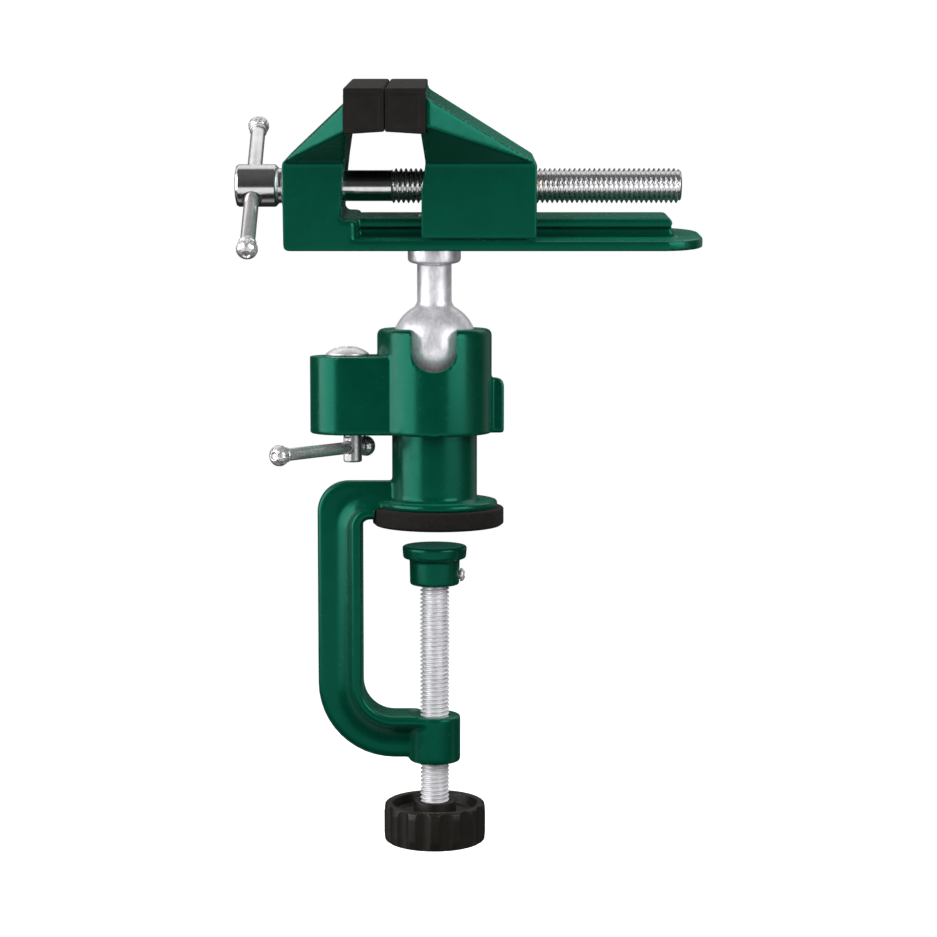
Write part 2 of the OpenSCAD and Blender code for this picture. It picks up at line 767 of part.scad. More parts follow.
module fixed_side() {
    polygon([
        [-plate_rear, plate_z + plate_round], [plate_round - plate_rear, plate_z],
        [foot_x, plate_z], [foot_x, rail_top], [fixed_inner_x, rail_top],
        [fixed_inner_x + jaw_lean / 3, (block_top + rail_top) / 2],
        [fixed_face_x + jaw_lean / 2, block_top + cap_rise / 3],
        [fixed_face_x + jaw_lean, cap_low - slide_gap], [fixed_face_x, cap_low - slide_gap],
        [fixed_face_x, cap_low + fixed_wing_top], [-plate_rear, block_top]
    ]);
}

module moving_side() {
    polygon([
        [moving_inner_x, skirt_z], [block_end, skirt_z], [block_end, block_top],
        [moving_face_x, cap_low + moving_wing_top], [moving_face_x, cap_low - slide_gap],
        [moving_inner_x, cap_low - slide_gap], [moving_inner_x + jaw_lean * 3 / 4, block_top],
        [moving_inner_x, (block_top + rail_top) / 2]
    ]);
}

module nose(x) {
    translate([x, -nose_width / 2, nose_low]) cube([nose_len, nose_width, nose_height]);
}

module base_plate() {
    translate([0, 0, plate_z]) linear_extrude(plate_thick) {
        translate([foot_x - over, -head_width / 2])
            square([plate_front - plate_corner - foot_x + over, head_width]);
        translate([foot_x - over, plate_corner - head_width / 2])
            square([plate_front - foot_x + over, head_width - 2 * plate_corner]);
        for (side = [-1, 1])
            translate([plate_front - plate_corner, side * (head_width / 2 - plate_corner)])
                circle(plate_corner);
    }
}

module rail() {
    start = foot_x - over;
    translate([start, -rail_web / 2, plate_z]) cube([rail_end - start, rail_web, rail_top - plate_z]);
    translate([start, -rail_width / 2, web_top]) cube([rail_end - start, rail_width, rail_head]);
    side_plate(rail_web) difference() {
        translate([rail_end, plate_top]) square(rail_fillet);
        translate([rail_end + rail_fillet, plate_top + rail_fillet]) circle(rail_fillet);
    }
}

module fixed_jaw() {
    color(cast_green) in_head() difference() {
        union() {
            intersection() {
                side_plate(jaw_width) fixed_side();
                rotate([90, 0, 90]) linear_extrude(head_span, center = true)
                    jaw_front(fixed_wing_low);
                linear_extrude(cap_top) jaw_plan(-plate_rear, fixed_face_x, 0);
            }
            nose(fixed_face_x);
            base_plate();
            rail();
        }
        bar_x(-plate_rear - over, screw_z, thread_dia + 2 * slip, plate_rear);
        bar_x(fixed_inner_x - ring_depth, screw_z, ring_dia + 2 * loose_gap, plate_rear);
        cylinder(d = bolt_dia + 2 * loose_gap, h = cap_top);
        translate([0, 0, rail_top - bolt_head_height - slide_gap])
            cylinder(d = bolt_head_dia + 2 * loose_gap, h = cap_top);
    }
}

module moving_jaw() {
    color(cast_green) in_head() difference() {
        union() {
            intersection() {
                side_plate(jaw_width) moving_side();
                rotate([90, 0, 90]) linear_extrude(head_span, center = true)
                    jaw_front(moving_wing_low);
                linear_extrude(cap_top) jaw_plan(block_end, moving_face_x, moving_face_x - jaw_width);
            }
            nose(moving_face_x - nose_len);
        }
        translate([-rail_end, -rail_width / 2 - slide_gap, web_top - slide_gap])
            cube([2 * rail_end, rail_width + 2 * slide_gap, rail_head + 2 * slide_gap]);
        translate([-rail_end, -rail_web / 2 - slide_gap, plate_top])
            cube([2 * rail_end, rail_web + 2 * slide_gap, rail_gap]);
        bar_x(-rail_end, screw_z, clear_dia, 2 * rail_end);
        bar_x(nut_x - slide_gap, screw_z, nut_dia + 2 * slip, nut_len + over);
    }
}

// Outline of a cap in X and Z, from its open rear at x = 0 towards the parting
module cap_outline() {
    polygon([
        [0, 0], [cap_depth, cap_slope], [cap_depth, cap_height - cap_chamfer],
        [cap_depth - cap_chamfer, cap_height], [0, cap_height]
    ]);
}

module jaw_cap() {
    color(rubber_black) difference() {
        translate([0, 0, cap_low]) side_plate(cap_len) cap_outline();
        translate([-over, cap_wall - cap_len / 2, cap_low + cap_wall])
            cube([nose_len + over, cap_len - 2 * cap_wall, cap_height - 2 * cap_wall]);
    }
}

module fixed_jaw_cap() {
    in_head() translate([fixed_cap_x, 0, 0]) jaw_cap();
}

module moving_jaw_cap() {
    in_head() translate([moving_cap_x, 0, 0]) mirror([1, 0, 0]) jaw_cap();
}

module lead_nut() {
    color(nut_brass) in_head() difference() {
        bar_x(nut_x, screw_z, nut_dia, nut_len);
        bar_x(nut_x - over, screw_z, thread_dia + 2 * slip, nut_len + 2 * over);
    }
}

module screw_hub() {
    translate([hub_x, 0, screw_z]) rotate([0, 90, 0]) rotate_extrude() polygon([
        [0, 0], [hub_dia / 2 - hub_chamfer, 0], [hub_dia / 2, hub_chamfer],
        [hub_dia / 2, hub_len - hub_chamfer], [hub_dia / 2 - hub_chamfer, hub_len], [0, hub_len]
    ]);
}

module main_screw() {
    tip_x = thread_end - thread_chamfer;
    color(bright_steel) in_head() difference() {
        union() {
            screw_hub();
            bar_x(collar_x - over, screw_z, thread_dia, journal_end - collar_x + over);
            bar_x(journal_end, screw_z, shank_dia, thread_start - journal_end);
            bar_x(thread_start, screw_z, thread_dia, tip_x - thread_start);
            translate([tip_x, 0, screw_z]) rotate([0, 90, 0])
                cylinder(d1 = thread_dia, d2 = thread_dia - 2 * thread_chamfer, h = thread_chamfer);
        }
        translate([handle_x, 0, screw_z]) rotate([90 + handle_angle, 0, 0])
            cylinder(d = handle_dia + 2 * slip, h = 2 * hub_dia, center = true);
        difference() {
            bar_x(ring_x, screw_z, thread_dia + over, ring_thick + slide_gap);
            bar_x(ring_x - over, screw_z, ring_groove_dia, ring_thick + 3 * over);
        }
    }
}

module thrust_washer() {
    color(zinc_steel) in_head() difference() {
        bar_x(washer_x, screw_z, washer_dia, washer_thick);
        bar_x(washer_x - over, screw_z, thread_dia + 2 * slip, washer_thick + 2 * over);
    }
}

module retaining_ring() {
    color(zinc_steel) in_head() difference() {
        bar_x(ring_x + slide_gap / 2, screw_z, ring_dia, ring_thick);
        bar_x(ring_x - over, screw_z, ring_groove_dia + 2 * slip, ring_thick + 3 * over);
        translate([ring_x - over, -ring_opening / 2, screw_z - ring_dia])
            cube([ring_thick + 3 * over, ring_opening, ring_dia]);
    }
}

// Places its children with +Z along the T handle, down on the notch side
module along_handle() {
    in_head() translate([handle_x, 0, screw_z]) rotate([90 + handle_angle, 0, 0]) children();
}

module handle_bar() {
    along_handle() knobbed_bar(-handle_span / 2, handle_span / 2, handle_knob_dia, handle_dia,
        handle_spigot_dia);
}

module handle_knob_front() {
    along_handle() translate([0, 0, handle_span / 2])
        end_knob(handle_knob_dia, handle_dia, handle_spigot_dia);
}

module handle_knob_back() {
    along_handle() mirror([0, 0, 1]) translate([0, 0, handle_span / 2])
        end_knob(handle_knob_dia, handle_dia, handle_spigot_dia);
}

clamp_frame();
table_pad();
ball_seat();
clamp_spindle();
swivel_pad();
pad_keeper_screw();
clamp_knob();
socket_housing();
lock_shaft();
lock_shaft_screw();
lock_shoe();
lever_bar();
lever_knob_far();
lever_knob_near();
ball_stud();
stud_bolt();
fixed_jaw();
moving_jaw();
fixed_jaw_cap();
moving_jaw_cap();
lead_nut();
main_screw();
thrust_washer();
retaining_ring();
handle_bar();
handle_knob_front();
handle_knob_back();
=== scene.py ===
import json
import math

import bmesh
import bpy
from bpy.props import FloatProperty, FloatVectorProperty, IntProperty, PointerProperty
from mathutils import Matrix, Vector


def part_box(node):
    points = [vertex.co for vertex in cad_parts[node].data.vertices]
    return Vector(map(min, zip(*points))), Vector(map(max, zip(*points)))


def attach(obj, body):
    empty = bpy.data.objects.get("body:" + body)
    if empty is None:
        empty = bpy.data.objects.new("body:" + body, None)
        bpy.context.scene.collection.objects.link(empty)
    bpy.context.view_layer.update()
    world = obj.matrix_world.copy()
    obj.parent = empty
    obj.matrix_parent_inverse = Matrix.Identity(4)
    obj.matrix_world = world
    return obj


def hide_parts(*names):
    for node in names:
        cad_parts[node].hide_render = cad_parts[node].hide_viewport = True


bl_info = {
    "name": "Ball Joint Bench Vise",
    "version": (1, 0, 0),
    "blender": (4, 5, 0),
    "location": "View3D > Sidebar > Bench Vise",
    "description": "A clamp-on bench vise with a ball joint: castings, screws, handles and finishes",
    "category": "Add Mesh",
}

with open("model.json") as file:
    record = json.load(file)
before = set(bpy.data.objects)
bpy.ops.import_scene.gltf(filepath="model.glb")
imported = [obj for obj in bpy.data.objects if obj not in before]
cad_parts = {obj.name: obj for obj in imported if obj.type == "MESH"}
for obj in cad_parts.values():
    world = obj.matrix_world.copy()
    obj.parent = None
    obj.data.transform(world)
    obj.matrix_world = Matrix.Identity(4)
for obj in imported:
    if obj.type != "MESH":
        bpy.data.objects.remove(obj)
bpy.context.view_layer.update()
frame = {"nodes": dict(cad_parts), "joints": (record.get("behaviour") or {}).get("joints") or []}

MM = 0.001  # one millimetre in metres
JOINTS = {joint["name"]: joint for joint in frame["joints"]}
BALL_Z = JOINTS["ball_tilt"]["pos_m"][2] / MM
STUD_AXIS = JOINTS["head_spin"]["axis"]
TILT = math.atan2(-STUD_AXIS[1], STUD_AXIS[2])
SCREW_PLACE = JOINTS["main_screw_turn"]["pos_m"]
SCREW_Z = Vector((0, SCREW_PLACE[1], SCREW_PLACE[2] - BALL_Z * MM)).length / MM

# Places: the head's frame has its origin in the ball's centre and its +Z along the stud
HEAD = Matrix.Translation((0, 0, BALL_Z)) @ Matrix.Rotation(TILT, 4, "X")
ALONG_X = Matrix.Rotation(math.pi / 2, 4, "Y")
HANDLE_X = -73.1
HANDLE_TURN = math.radians(90 + 34.4)
ALONG_HANDLE = (
    HEAD @ Matrix.Translation((HANDLE_X, 0, SCREW_Z)) @ Matrix.Rotation(HANDLE_TURN, 4, "X")
)
LUG_X, THROW, LEVER_Z = -35.7, 2.0, 32.0  # axis and throw of the lock shaft, height of the lever
LEVER_TURN = math.radians(53.3)
ALONG_LEVER = (
    Matrix.Translation((LUG_X + THROW, 0, LEVER_Z))
    @ Matrix.Rotation(LEVER_TURN, 4, "Z")
    @ Matrix.Rotation(-math.pi / 2, 4, "Y")
)


def srgb(red, green, blue):
    """A colour as seen on a screen, 0 to 255, as the linear values that a shader takes."""
    return tuple(
        c / 12.92 if c <= 0.04045 else ((c + 0.055) / 1.055) ** 2.4
        for c in (red / 255, green / 255, blue / 255)
    )


def length_setting(name, about, default, low, high):
    """Panel setting for a length, given in millimetres."""
    return FloatProperty(
        name=name, description=about, default=default * MM, min=low * MM, max=high * MM,
        unit="LENGTH", precision=5,
    )


def count_setting(name, about, default, low, high):
    """Panel setting for a number of things."""
    return IntProperty(name=name, description=about, default=default, min=low, max=high)


def colour_setting(name, about, *screen_colour):
    """Panel setting for a colour, given as seen on a screen."""
    return FloatVectorProperty(
        name=name, description=about, subtype="COLOR", default=srgb(*screen_colour), min=0, max=1
    )


def power_setting(name, about, default):
    """Panel setting for the power of a lamp."""
    return FloatProperty(name=name, description=about, subtype="POWER", default=default, min=0, max=500)


def level_setting(name, about, default, high=2):
    """Panel setting for a level of plain light."""
    return FloatProperty(name=name, description=about, default=default, min=0, max=high)


class CastingLook(bpy.types.PropertyGroup):
    """How the painted castings are rounded."""

    jaw_grain: length_setting("Jaw Grain", "Mesh size on the two jaw castings", 0.68, 0.4, 2)
    base_grain: length_setting("Base Grain", "Mesh size on the clamp and socket castings", 0.6, 0.4, 2)
    jaw_rounding: count_setting("Jaw Rounding", "Smoothing passes over the edges of the jaws", 4, 0, 30)
    base_rounding: count_setting(
        "Base Rounding", "Smoothing passes over the edges of the clamp and socket", 6, 0, 30
    )


class ScrewThreads(bpy.types.PropertyGroup):
    """The two threaded screws."""

    jaw_pitch: length_setting("Jaw Screw Pitch", "Rise of the jaw screw's thread in a turn", 2, 0.5, 5)
    jaw_radius: length_setting("Jaw Screw Radius", "Outer radius of the jaw screw's thread", 7, 2, 20)
    clamp_pitch: length_setting(
        "Clamp Spindle Pitch", "Rise of the clamp spindle's thread in a turn", 1.75, 0.5, 5
    )
    clamp_radius: length_setting(
        "Clamp Spindle Radius", "Outer radius of the clamp spindle's thread", 6, 2, 20
    )
    turn_steps: count_setting("Steps in a Turn", "Faces round one turn of a thread", 56, 12, 160)
    pitch_rows: count_setting("Rows in a Pitch", "Faces across one pitch of a thread", 14, 6, 30)


class KnobGrip(bpy.types.PropertyGroup):
    """The flutes round the clamp knob."""

    flutes: count_setting("Flutes", "Number of flutes round the clamp knob", 14, 3, 40)
    flute_radius: length_setting("Flute Radius", "Radius of one flute", 4, 1, 9)
    flute_depth: length_setting("Flute Depth", "Depth of one flute in the knob", 1.4, 0.2, 3)


class FinishColours(bpy.types.PropertyGroup):
    """Colours of the finishes."""

    paint: colour_setting("Paint", "Powder coat on the castings", 0, 50, 35)
    sheen: colour_setting("Paint Shine", "Tint of the light that the powder coat mirrors", 86, 240, 204)
    bloom: colour_setting("Paint Bloom", "Tint of the powder coat seen at a low angle", 70, 205, 170)
    caps: colour_setting("Jaw Caps", "Soft plastic of the jaw caps", 24, 21, 20)
    rubber: colour_setting("Table Pad", "Rubber of the table pad", 19, 17, 14)
    knob: colour_setting("Clamp Knob", "Moulded plastic of the clamp knob", 16, 14, 9)
    bright: colour_setting("Bright Plate", "Nickel plate on screws, handles and end knobs", 226, 224, 226)
    zinc: colour_setting("Zinc", "Zinc plate on the clamp spindle and small parts", 228, 228, 231)
    alloy: colour_setting("Raw Casting", "Bare alloy of the ball stud", 238, 237, 243)
    brass: colour_setting("Brass", "Brass of the nut and the ball's seat", 196, 154, 88)


class StudioLook(bpy.types.PropertyGroup):
    """Lamps, background and camera."""

    key_light: power_setting("Key Light", "Power of the large soft light on the left", 21.5)
    side_light: power_setting("Side Light", "Power of the small soft light in front on the right", 2.5)
    back_light: power_setting("Back Light", "Power of the soft light behind on the right", 0.6)
    fill: level_setting("Fill", "Level of the plain light from the sides", 0.24)
    overhead: level_setting("Overhead", "Level of the plain light from straight above", 3.0, 6)
    bounce: level_setting("Bounce", "Level of the light that comes up from the floor", 0.09)
    dark: level_setting("Dark Front", "Level of the dark in front, as the metal mirrors it", 0.035)
    horizon: level_setting("Back", "Level of the backdrop, as the metal mirrors it", 0.022)
    band: level_setting("Band", "Level of the bright band above the backdrop", 0.9)
    strip: level_setting("Strip", "Level of the bright strip on the floor in front", 1.0)
    shadow: level_setting("Shadow", "Depth of the shadow that the floor shows", 0.17, 1)
    lens: FloatProperty(
        name="Lens", description="Focal length of the camera", default=82.99, min=20, max=300, unit="CAMERA"
    )


# Shells: a list of points in millimetres and a list of faces


def arc(centre, radius, start, sweep, steps):
    """Points on an arc, from a start angle through a sweep."""
    angles = [start + sweep * i / steps for i in range(steps + 1)]
    return [(centre[0] + radius * math.cos(a), centre[1] + radius * math.sin(a)) for a in angles]


ARC_SHARE = 0.49  # the most of a side that the arc in one of its corners takes up


def rounded(corners, steps=6, closed=True):
    """Outline through the corners (a, b, radius), with an arc in each that has a radius."""
    outline, count = [], len(corners)
    for i, (a, b, radius) in enumerate(corners):
        if radius <= 0 or (not closed and i in (0, count - 1)):
            outline.append((a, b))
            continue
        corner = Vector((a, b))
        back = Vector(corners[i - 1][:2]) - corner
        ahead = Vector(corners[(i + 1) % count][:2]) - corner
        slope = math.tan(back.angle(ahead) / 2)
        reach = min(radius / slope, ARC_SHARE * back.length, ARC_SHARE * ahead.length)
        inwards = (back.normalized() + ahead.normalized()).normalized()
        centre = corner + inwards * math.hypot(reach, reach * slope)
        first = corner + back.normalized() * reach - centre
        last = corner + ahead.normalized() * reach - centre
        start = math.atan2(first.y, first.x)
        sweep = (math.atan2(last.y, last.x) - start + math.pi) % math.tau - math.pi
        outline += arc(centre, first.length, start, sweep, steps)
    return outline


def skinned(rings):
    """Shell through rings of as many points each, with a flat face on both ends."""
    width = len(rings[0])
    points = [tuple(point) for ring in rings for point in ring]
    faces = []
    for row in range(len(rings) - 1):
        low, high = row * width, (row + 1) * width
        for i in range(width):
            j = (i + 1) % width
            faces.append([low + i, low + j, high + j, high + i])
    faces.append(list(range(width))[::-1])
    faces.append(list(range(len(points) - width, len(points))))
    return points, faces


def turned(profile, steps=120):
    """Shell of a profile of (radius, height) pairs round +Z. A radius of 0 is one point."""
    points, rings = [], []
    for radius, height in profile:
        if radius < 1e-6:
            rings.append([len(points)] * steps)
            points.append((0.0, 0.0, height))
        else:
            rings.append(range(len(points), len(points) + steps))
            points += [(x, y, height) for x, y in arc((0, 0), radius, 0, math.tau, steps)[:-1]]
    faces = []
    for low, high in zip(rings, rings[1:]):
        for i in range(steps):
            j = (i + 1) % steps
            loop = list(dict.fromkeys((low[i], low[j], high[j], high[i])))
            if len(loop) > 2:
                faces.append(loop)
    return points, faces


def lathed(corners, arc_steps=5, steps=120):
    """Solid turned round +Z, from the corners (radius, height, edge) of its profile."""
    return turned(rounded(corners, arc_steps, False), steps)


def turned_ring(inner, outer, low, high, steps=120):
    """Ring with a rectangular section round +Z."""
    profile = [(inner, low), (outer, low), (outer, high), (inner, high), (inner, low)]
    points, faces = turned(profile, steps)
    last = len(points) - steps
    return points[:last], [[i % last for i in loop] for loop in faces]


def rod(radius, low, high, edge=0.0, steps=120):
    """Solid round bar along +Z with rounded rims."""
    return lathed([(0, low, 0), (radius, low, edge), (radius, high, edge), (0, high, 0)], 4, steps)


def prism(outline, low, high, along="z"):
    """Outline drawn out from low to high along an axis: (x, y) for z, (x, z) for y, (y, z) for x."""
    order = {"z": (0, 1, 2), "y": (0, 2, 1), "x": (2, 0, 1)}[along]
    return skinned([[[(a, b, end)[i] for i in order] for a, b in outline] for end in (low, high)])


def block(x_span, y_span, z_span):
    """Box between two values on each axis."""
    (x0, x1), (y0, y1) = x_span, y_span
    return prism([(x0, y0), (x1, y0), (x1, y1), (x0, y1)], *z_span)


def placed(shell, matrix):
    """Shell moved by a matrix."""
    return [tuple(matrix @ Vector(point)) for point in shell[0]], shell[1]


def shifted(shell, x):
    """Shell moved along X."""
    return placed(shell, Matrix.Translation((x, 0, 0)))


def bar_x(radius, start, end, height, steps=120):
    """Round bar along X at a height, from start to end."""
    place = Matrix.Translation((start, 0, height)) @ ALONG_X
    return placed(rod(radius, 0, end - start, steps=steps), place)


def cut(shell):
    """Step of the machining that takes a shell away."""
    return "DIFFERENCE", shell


def join(shell):
    """Step of the machining that adds a shell."""
    return "UNION", shell


def trim(shell):
    """Step of the machining that keeps only what lies in a shell."""
    return "INTERSECT", shell


# Meshes


def linked(name, data):
    """New object of a mesh, lamp or camera, in the scene."""
    thing = bpy.data.objects.new(name, data)
    bpy.context.scene.collection.objects.link(thing)
    return thing


def on_bench(shell):
    """Object of a shell, in metres, with its faces outwards."""
    points, faces = shell
    mesh = bpy.data.meshes.new("bench")
    mesh.from_pydata([tuple(c * MM for c in point) for point in points], [], faces)
    work = bmesh.new()
    work.from_mesh(mesh)
    bmesh.ops.remove_doubles(work, verts=work.verts, dist=1e-7)
    bmesh.ops.recalc_face_normals(work, faces=work.faces)
    work.to_mesh(mesh)
    work.free()
    return linked("bench", mesh)


def baked(piece):
    """The mesh of an object with its modifiers applied. The object itself is removed."""
    bpy.context.view_layer.update()
    graph = bpy.context.evaluated_depsgraph_get()
    mesh = bpy.data.meshes.new_from_object(piece.evaluated_get(graph))
    bpy.data.objects.remove(piece)
    return mesh


def mesh_of(shell):
    """Mesh of a shell, in metres."""
    return baked(on_bench(shell))


def machined(stock, *steps):
    """Mesh of a stock shell after each step on it in turn."""
    piece, tools = on_bench(stock), []
    for operation, shell in steps:
        tool = on_bench(shell)
        tools.append(tool)
        step = piece.modifiers.new(operation.lower(), "BOOLEAN")
        step.operation, step.object, step.solver = operation, tool, "MANIFOLD"
    mesh = baked(piece)
    for tool in tools:
        bpy.data.objects.remove(tool)
    return mesh


def cast(mesh, grain, passes):
    """Mesh with its parts run into one skin and its edges and inner corners rounded."""
    piece = linked("cast", mesh)
    skin = piece.modifiers.new("skin", "REMESH")
    skin.mode, skin.voxel_size, skin.use_smooth_shade = "VOXEL", grain, True
    soft = piece.modifiers.new("soft", "SMOOTH")
    soft.factor, soft.iterations = 0.5, passes
    return baked(piece)


def merged(*parts):
    """One mesh out of meshes and shells."""
    work = bmesh.new()
    for part in parts:
        work.from_mesh(mesh_of(part) if isinstance(part, tuple) else part)
    mesh = bpy.data.meshes.new("merged")
    work.to_mesh(mesh)
    work.free()
    return mesh


def shaded(mesh, crease):
    """Smooth faces, with a sharp line where they meet at more than the crease angle."""
    work = bmesh.new()
    work.from_mesh(mesh)
    for face in work.faces:
        face.smooth = True
    for edge in work.edges:
        edge.smooth = len(edge.link_faces) == 2 and edge.calc_face_angle(0) < math.radians(crease)
    work.to_mesh(mesh)
    work.free()


# Node trees


class Sheet:
    """Writes a node tree, with less to write for each node."""

    def __init__(self, tree):
        self.tree = tree

    def put(self, socket, value):
        """Links an output to a socket, or sets a plain value on it."""
        if isinstance(value, bpy.types.NodeSocket):
            self.tree.links.new(value, socket)
        else:
            socket.default_value = value

    def add(self, kind, inputs=None, **settings):
        """New node with its settings, and its inputs by name or number."""
        node = self.tree.nodes.new(kind)
        for key, value in settings.items():
            setattr(node, key, value)
        for key, value in (inputs or {}).items():
            self.put(node.inputs[key], value)
        return node

    def maths(self, operation, *values):
        """Output of a maths node."""
        return self.add("ShaderNodeMath", dict(enumerate(values)), operation=operation).outputs[0]

    def times(self, one, other):
        return self.maths("MULTIPLY", one, other)

    def plus(self, one, other):
        return self.maths("ADD", one, other)

    def minus(self, one, other):
        return self.maths("SUBTRACT", one, other)

    def over(self, one, other):
        return self.maths("DIVIDE", one, other)

    def span(self, value, low, high, to_low, to_high):
        """Value from low to high, carried over to the range from to_low to to_high."""
        return self.add(
            "ShaderNodeMapRange",
            {"Value": value, "From Min": low, "From Max": high, "To Min": to_low, "To Max": to_high},
        ).outputs["Result"]


def growth_tree(name, sockets):
    """New geometry tree with named inputs, and its sheet and input sockets."""
    tree = bpy.data.node_groups.new(name, "GeometryNodeTree")
    for label, kind in sockets:
        tree.interface.new_socket(name=label, in_out="INPUT", socket_type=kind)
    tree.interface.new_socket(name="Geometry", in_out="OUTPUT", socket_type="NodeSocketGeometry")
    sheet = Sheet(tree)
    return tree, sheet, sheet.add("NodeGroupInput").outputs


def close_growth(sheet, geometry, material):
    """Ends a geometry tree: real geometry, one material."""
    real = sheet.add("GeometryNodeRealizeInstances", {"Geometry": geometry})
    painted = sheet.add(
        "GeometryNodeSetMaterial", {"Geometry": real.outputs["Geometry"], "Material": material}
    )
    sheet.add("NodeGroupOutput", {"Geometry": painted.outputs["Geometry"]})


def position_parts(sheet):
    """The X, Y and Z of each point, in a geometry tree."""
    position = sheet.add("GeometryNodeInputPosition").outputs[0]
    return sheet.add("ShaderNodeSeparateXYZ", {"Vector": position}).outputs


def rolled_thread():
    """Tree of a right-hand rolled thread along +Z: a drum whose radius follows the helix."""
    tree, sheet, given = growth_tree(
        "rolled_thread",
        [
            ("Length", "NodeSocketFloat"), ("Pitch", "NodeSocketFloat"),
            ("Outer Radius", "NodeSocketFloat"), ("Thread Depth", "NodeSocketFloat"),
            ("Start Radius", "NodeSocketFloat"), ("End Chamfer", "NodeSocketFloat"),
            ("Turn Steps", "NodeSocketInt"), ("Pitch Rows", "NodeSocketInt"),
            ("Finish", "NodeSocketMaterial"),
        ],
    )
    maths, times, plus, minus, over = sheet.maths, sheet.times, sheet.plus, sheet.minus, sheet.over
    length, pitch, outer = given["Length"], given["Pitch"], given["Outer Radius"]
    rows = maths("ROUND", times(over(length, pitch), given["Pitch Rows"]))
    row_step = over(length, rows)
    drum = sheet.add(
        "GeometryNodeMeshGrid",
        {
            "Size X": 1.0, "Size Y": 1.0,
            "Vertices X": plus(given["Turn Steps"], 1), "Vertices Y": plus(rows, 3),
        },
    )
    place = position_parts(sheet)
    turn = plus(place["X"], 0.5)
    reach = maths("MULTIPLY_ADD", row_step, 2, length)
    raw = minus(times(plus(place["Y"], 0.5), reach), row_step)
    along = maths("MINIMUM", maths("MAXIMUM", raw, 0.0), length)
    # Where the flank starts and ends, as shares of half a pitch from the middle of the crest
    crest_share, root_share = 0.16, 0.8
    phase = maths("FRACT", minus(over(along, pitch), turn))
    flank = times(maths("ABSOLUTE", minus(phase, 0.5)), 2)
    crest = minus(outer, sheet.span(flank, crest_share, root_share, 0.0, given["Thread Depth"]))
    # Both ends are chamfered, and the first and last row of points close them on the axis
    lead_in = plus(given["Start Radius"], along)
    lead_out = plus(minus(outer, given["End Chamfer"]), minus(length, along))
    radius = maths("MINIMUM", maths("MINIMUM", crest, lead_in), lead_out)
    half_row = times(row_step, 0.5)
    before = maths("LESS_THAN", raw, times(half_row, -1))
    behind = maths("GREATER_THAN", raw, plus(length, half_row))
    radius = times(radius, minus(1, plus(before, behind)))
    angle = times(turn, math.tau)
    point = sheet.add(
        "ShaderNodeCombineXYZ",
        {"X": times(radius, maths("COSINE", angle)), "Y": times(radius, maths("SINE", angle)), "Z": along},
    )
    wound = sheet.add(
        "GeometryNodeSetPosition", {"Geometry": drum.outputs["Mesh"], "Position": point.outputs[0]}
    )
    closed = sheet.add(
        "GeometryNodeMergeByDistance", {"Geometry": wound.outputs["Geometry"], "Distance": 1e-6}
    )
    close_growth(sheet, closed.outputs["Geometry"], given["Finish"])
    return tree


def fluted_grip():
    """Tree that presses round flutes into the outer wall of a turned body."""
    tree, sheet, given = growth_tree(
        "fluted_grip",
        [
            ("Body", "NodeSocketGeometry"), ("Flutes", "NodeSocketInt"),
            ("Grip Radius", "NodeSocketFloat"), ("Flute Radius", "NodeSocketFloat"),
            ("Flute Depth", "NodeSocketFloat"), ("Finish", "NodeSocketMaterial"),
        ],
    )
    maths, times, plus, minus, over = sheet.maths, sheet.times, sheet.plus, sheet.minus, sheet.over
    place = position_parts(sheet)
    x, y = place["X"], place["Y"]
    flute, grip_radius = given["Flute Radius"], given["Grip Radius"]
    radius = maths("SQRT", plus(times(x, x), times(y, y)))
    share = over(times(maths("ARCTAN2", y, x), given["Flutes"]), math.tau)
    side = minus(maths("FRACT", plus(share, 0.5)), 0.5)
    arc_length = over(times(times(side, math.tau), grip_radius), given["Flutes"])
    square = minus(times(flute, flute), times(arc_length, arc_length))
    depth = maths("SQRT", maths("MAXIMUM", square, 0.0))
    pressed = maths("MAXIMUM", minus(depth, minus(flute, given["Flute Depth"])), 0.0)
    limit = maths("MINIMUM", radius, minus(grip_radius, pressed))
    ratio = over(limit, maths("MAXIMUM", radius, 1e-6))
    point = sheet.add(
        "ShaderNodeCombineXYZ", {"X": times(x, ratio), "Y": times(y, ratio), "Z": place["Z"]}
    )
    formed = sheet.add(
        "GeometryNodeSetPosition", {"Geometry": given["Body"], "Position": point.outputs[0]}
    )
    close_growth(sheet, formed.outputs["Geometry"], given["Finish"])
    return tree


def grown(tree, values, body=None):
    """Plain mesh that a geometry tree makes, from a body mesh where it takes one."""
    seed = linked("seed", body or bpy.data.meshes.new("seed"))
    growth = seed.modifiers.new("growth", "NODES")
    growth.node_group = tree
    sockets = {s.name: s.identifier for s in tree.interface.items_tree if s.in_out == "INPUT"}
    for name, value in values.items():
        growth[sockets[name]] = value
    return baked(seed)


def threaded_bar(threads, material, foot, length, pitch, radius, depth, start_radius, chamfer):
    """Mesh of a threaded bar along +Z from a foot height. Its lengths are in metres."""
    mesh = grown(
        rolled_thread(),
        {
            "Length": length, "Pitch": pitch, "Outer Radius": radius, "Thread Depth": depth,
            "Start Radius": start_radius, "End Chamfer": chamfer,
            "Turn Steps": threads.turn_steps, "Pitch Rows": threads.pitch_rows, "Finish": material,
        },
    )
    mesh.transform(Matrix.Translation((0, 0, foot)))
    return mesh


def fluted(body, material, flutes, radius, flute_radius, flute_depth):
    """Mesh of a turned body with flutes pressed in round it. Its lengths are in metres."""
    return grown(
        fluted_grip(),
        {
            "Flutes": flutes, "Grip Radius": radius, "Flute Radius": flute_radius,
            "Flute Depth": flute_depth, "Finish": material,
        },
        body,
    )


# Finishes


def opaque(colour):
    """Colour with an alpha of one, as a shader takes it."""
    return (*colour, 1.0)


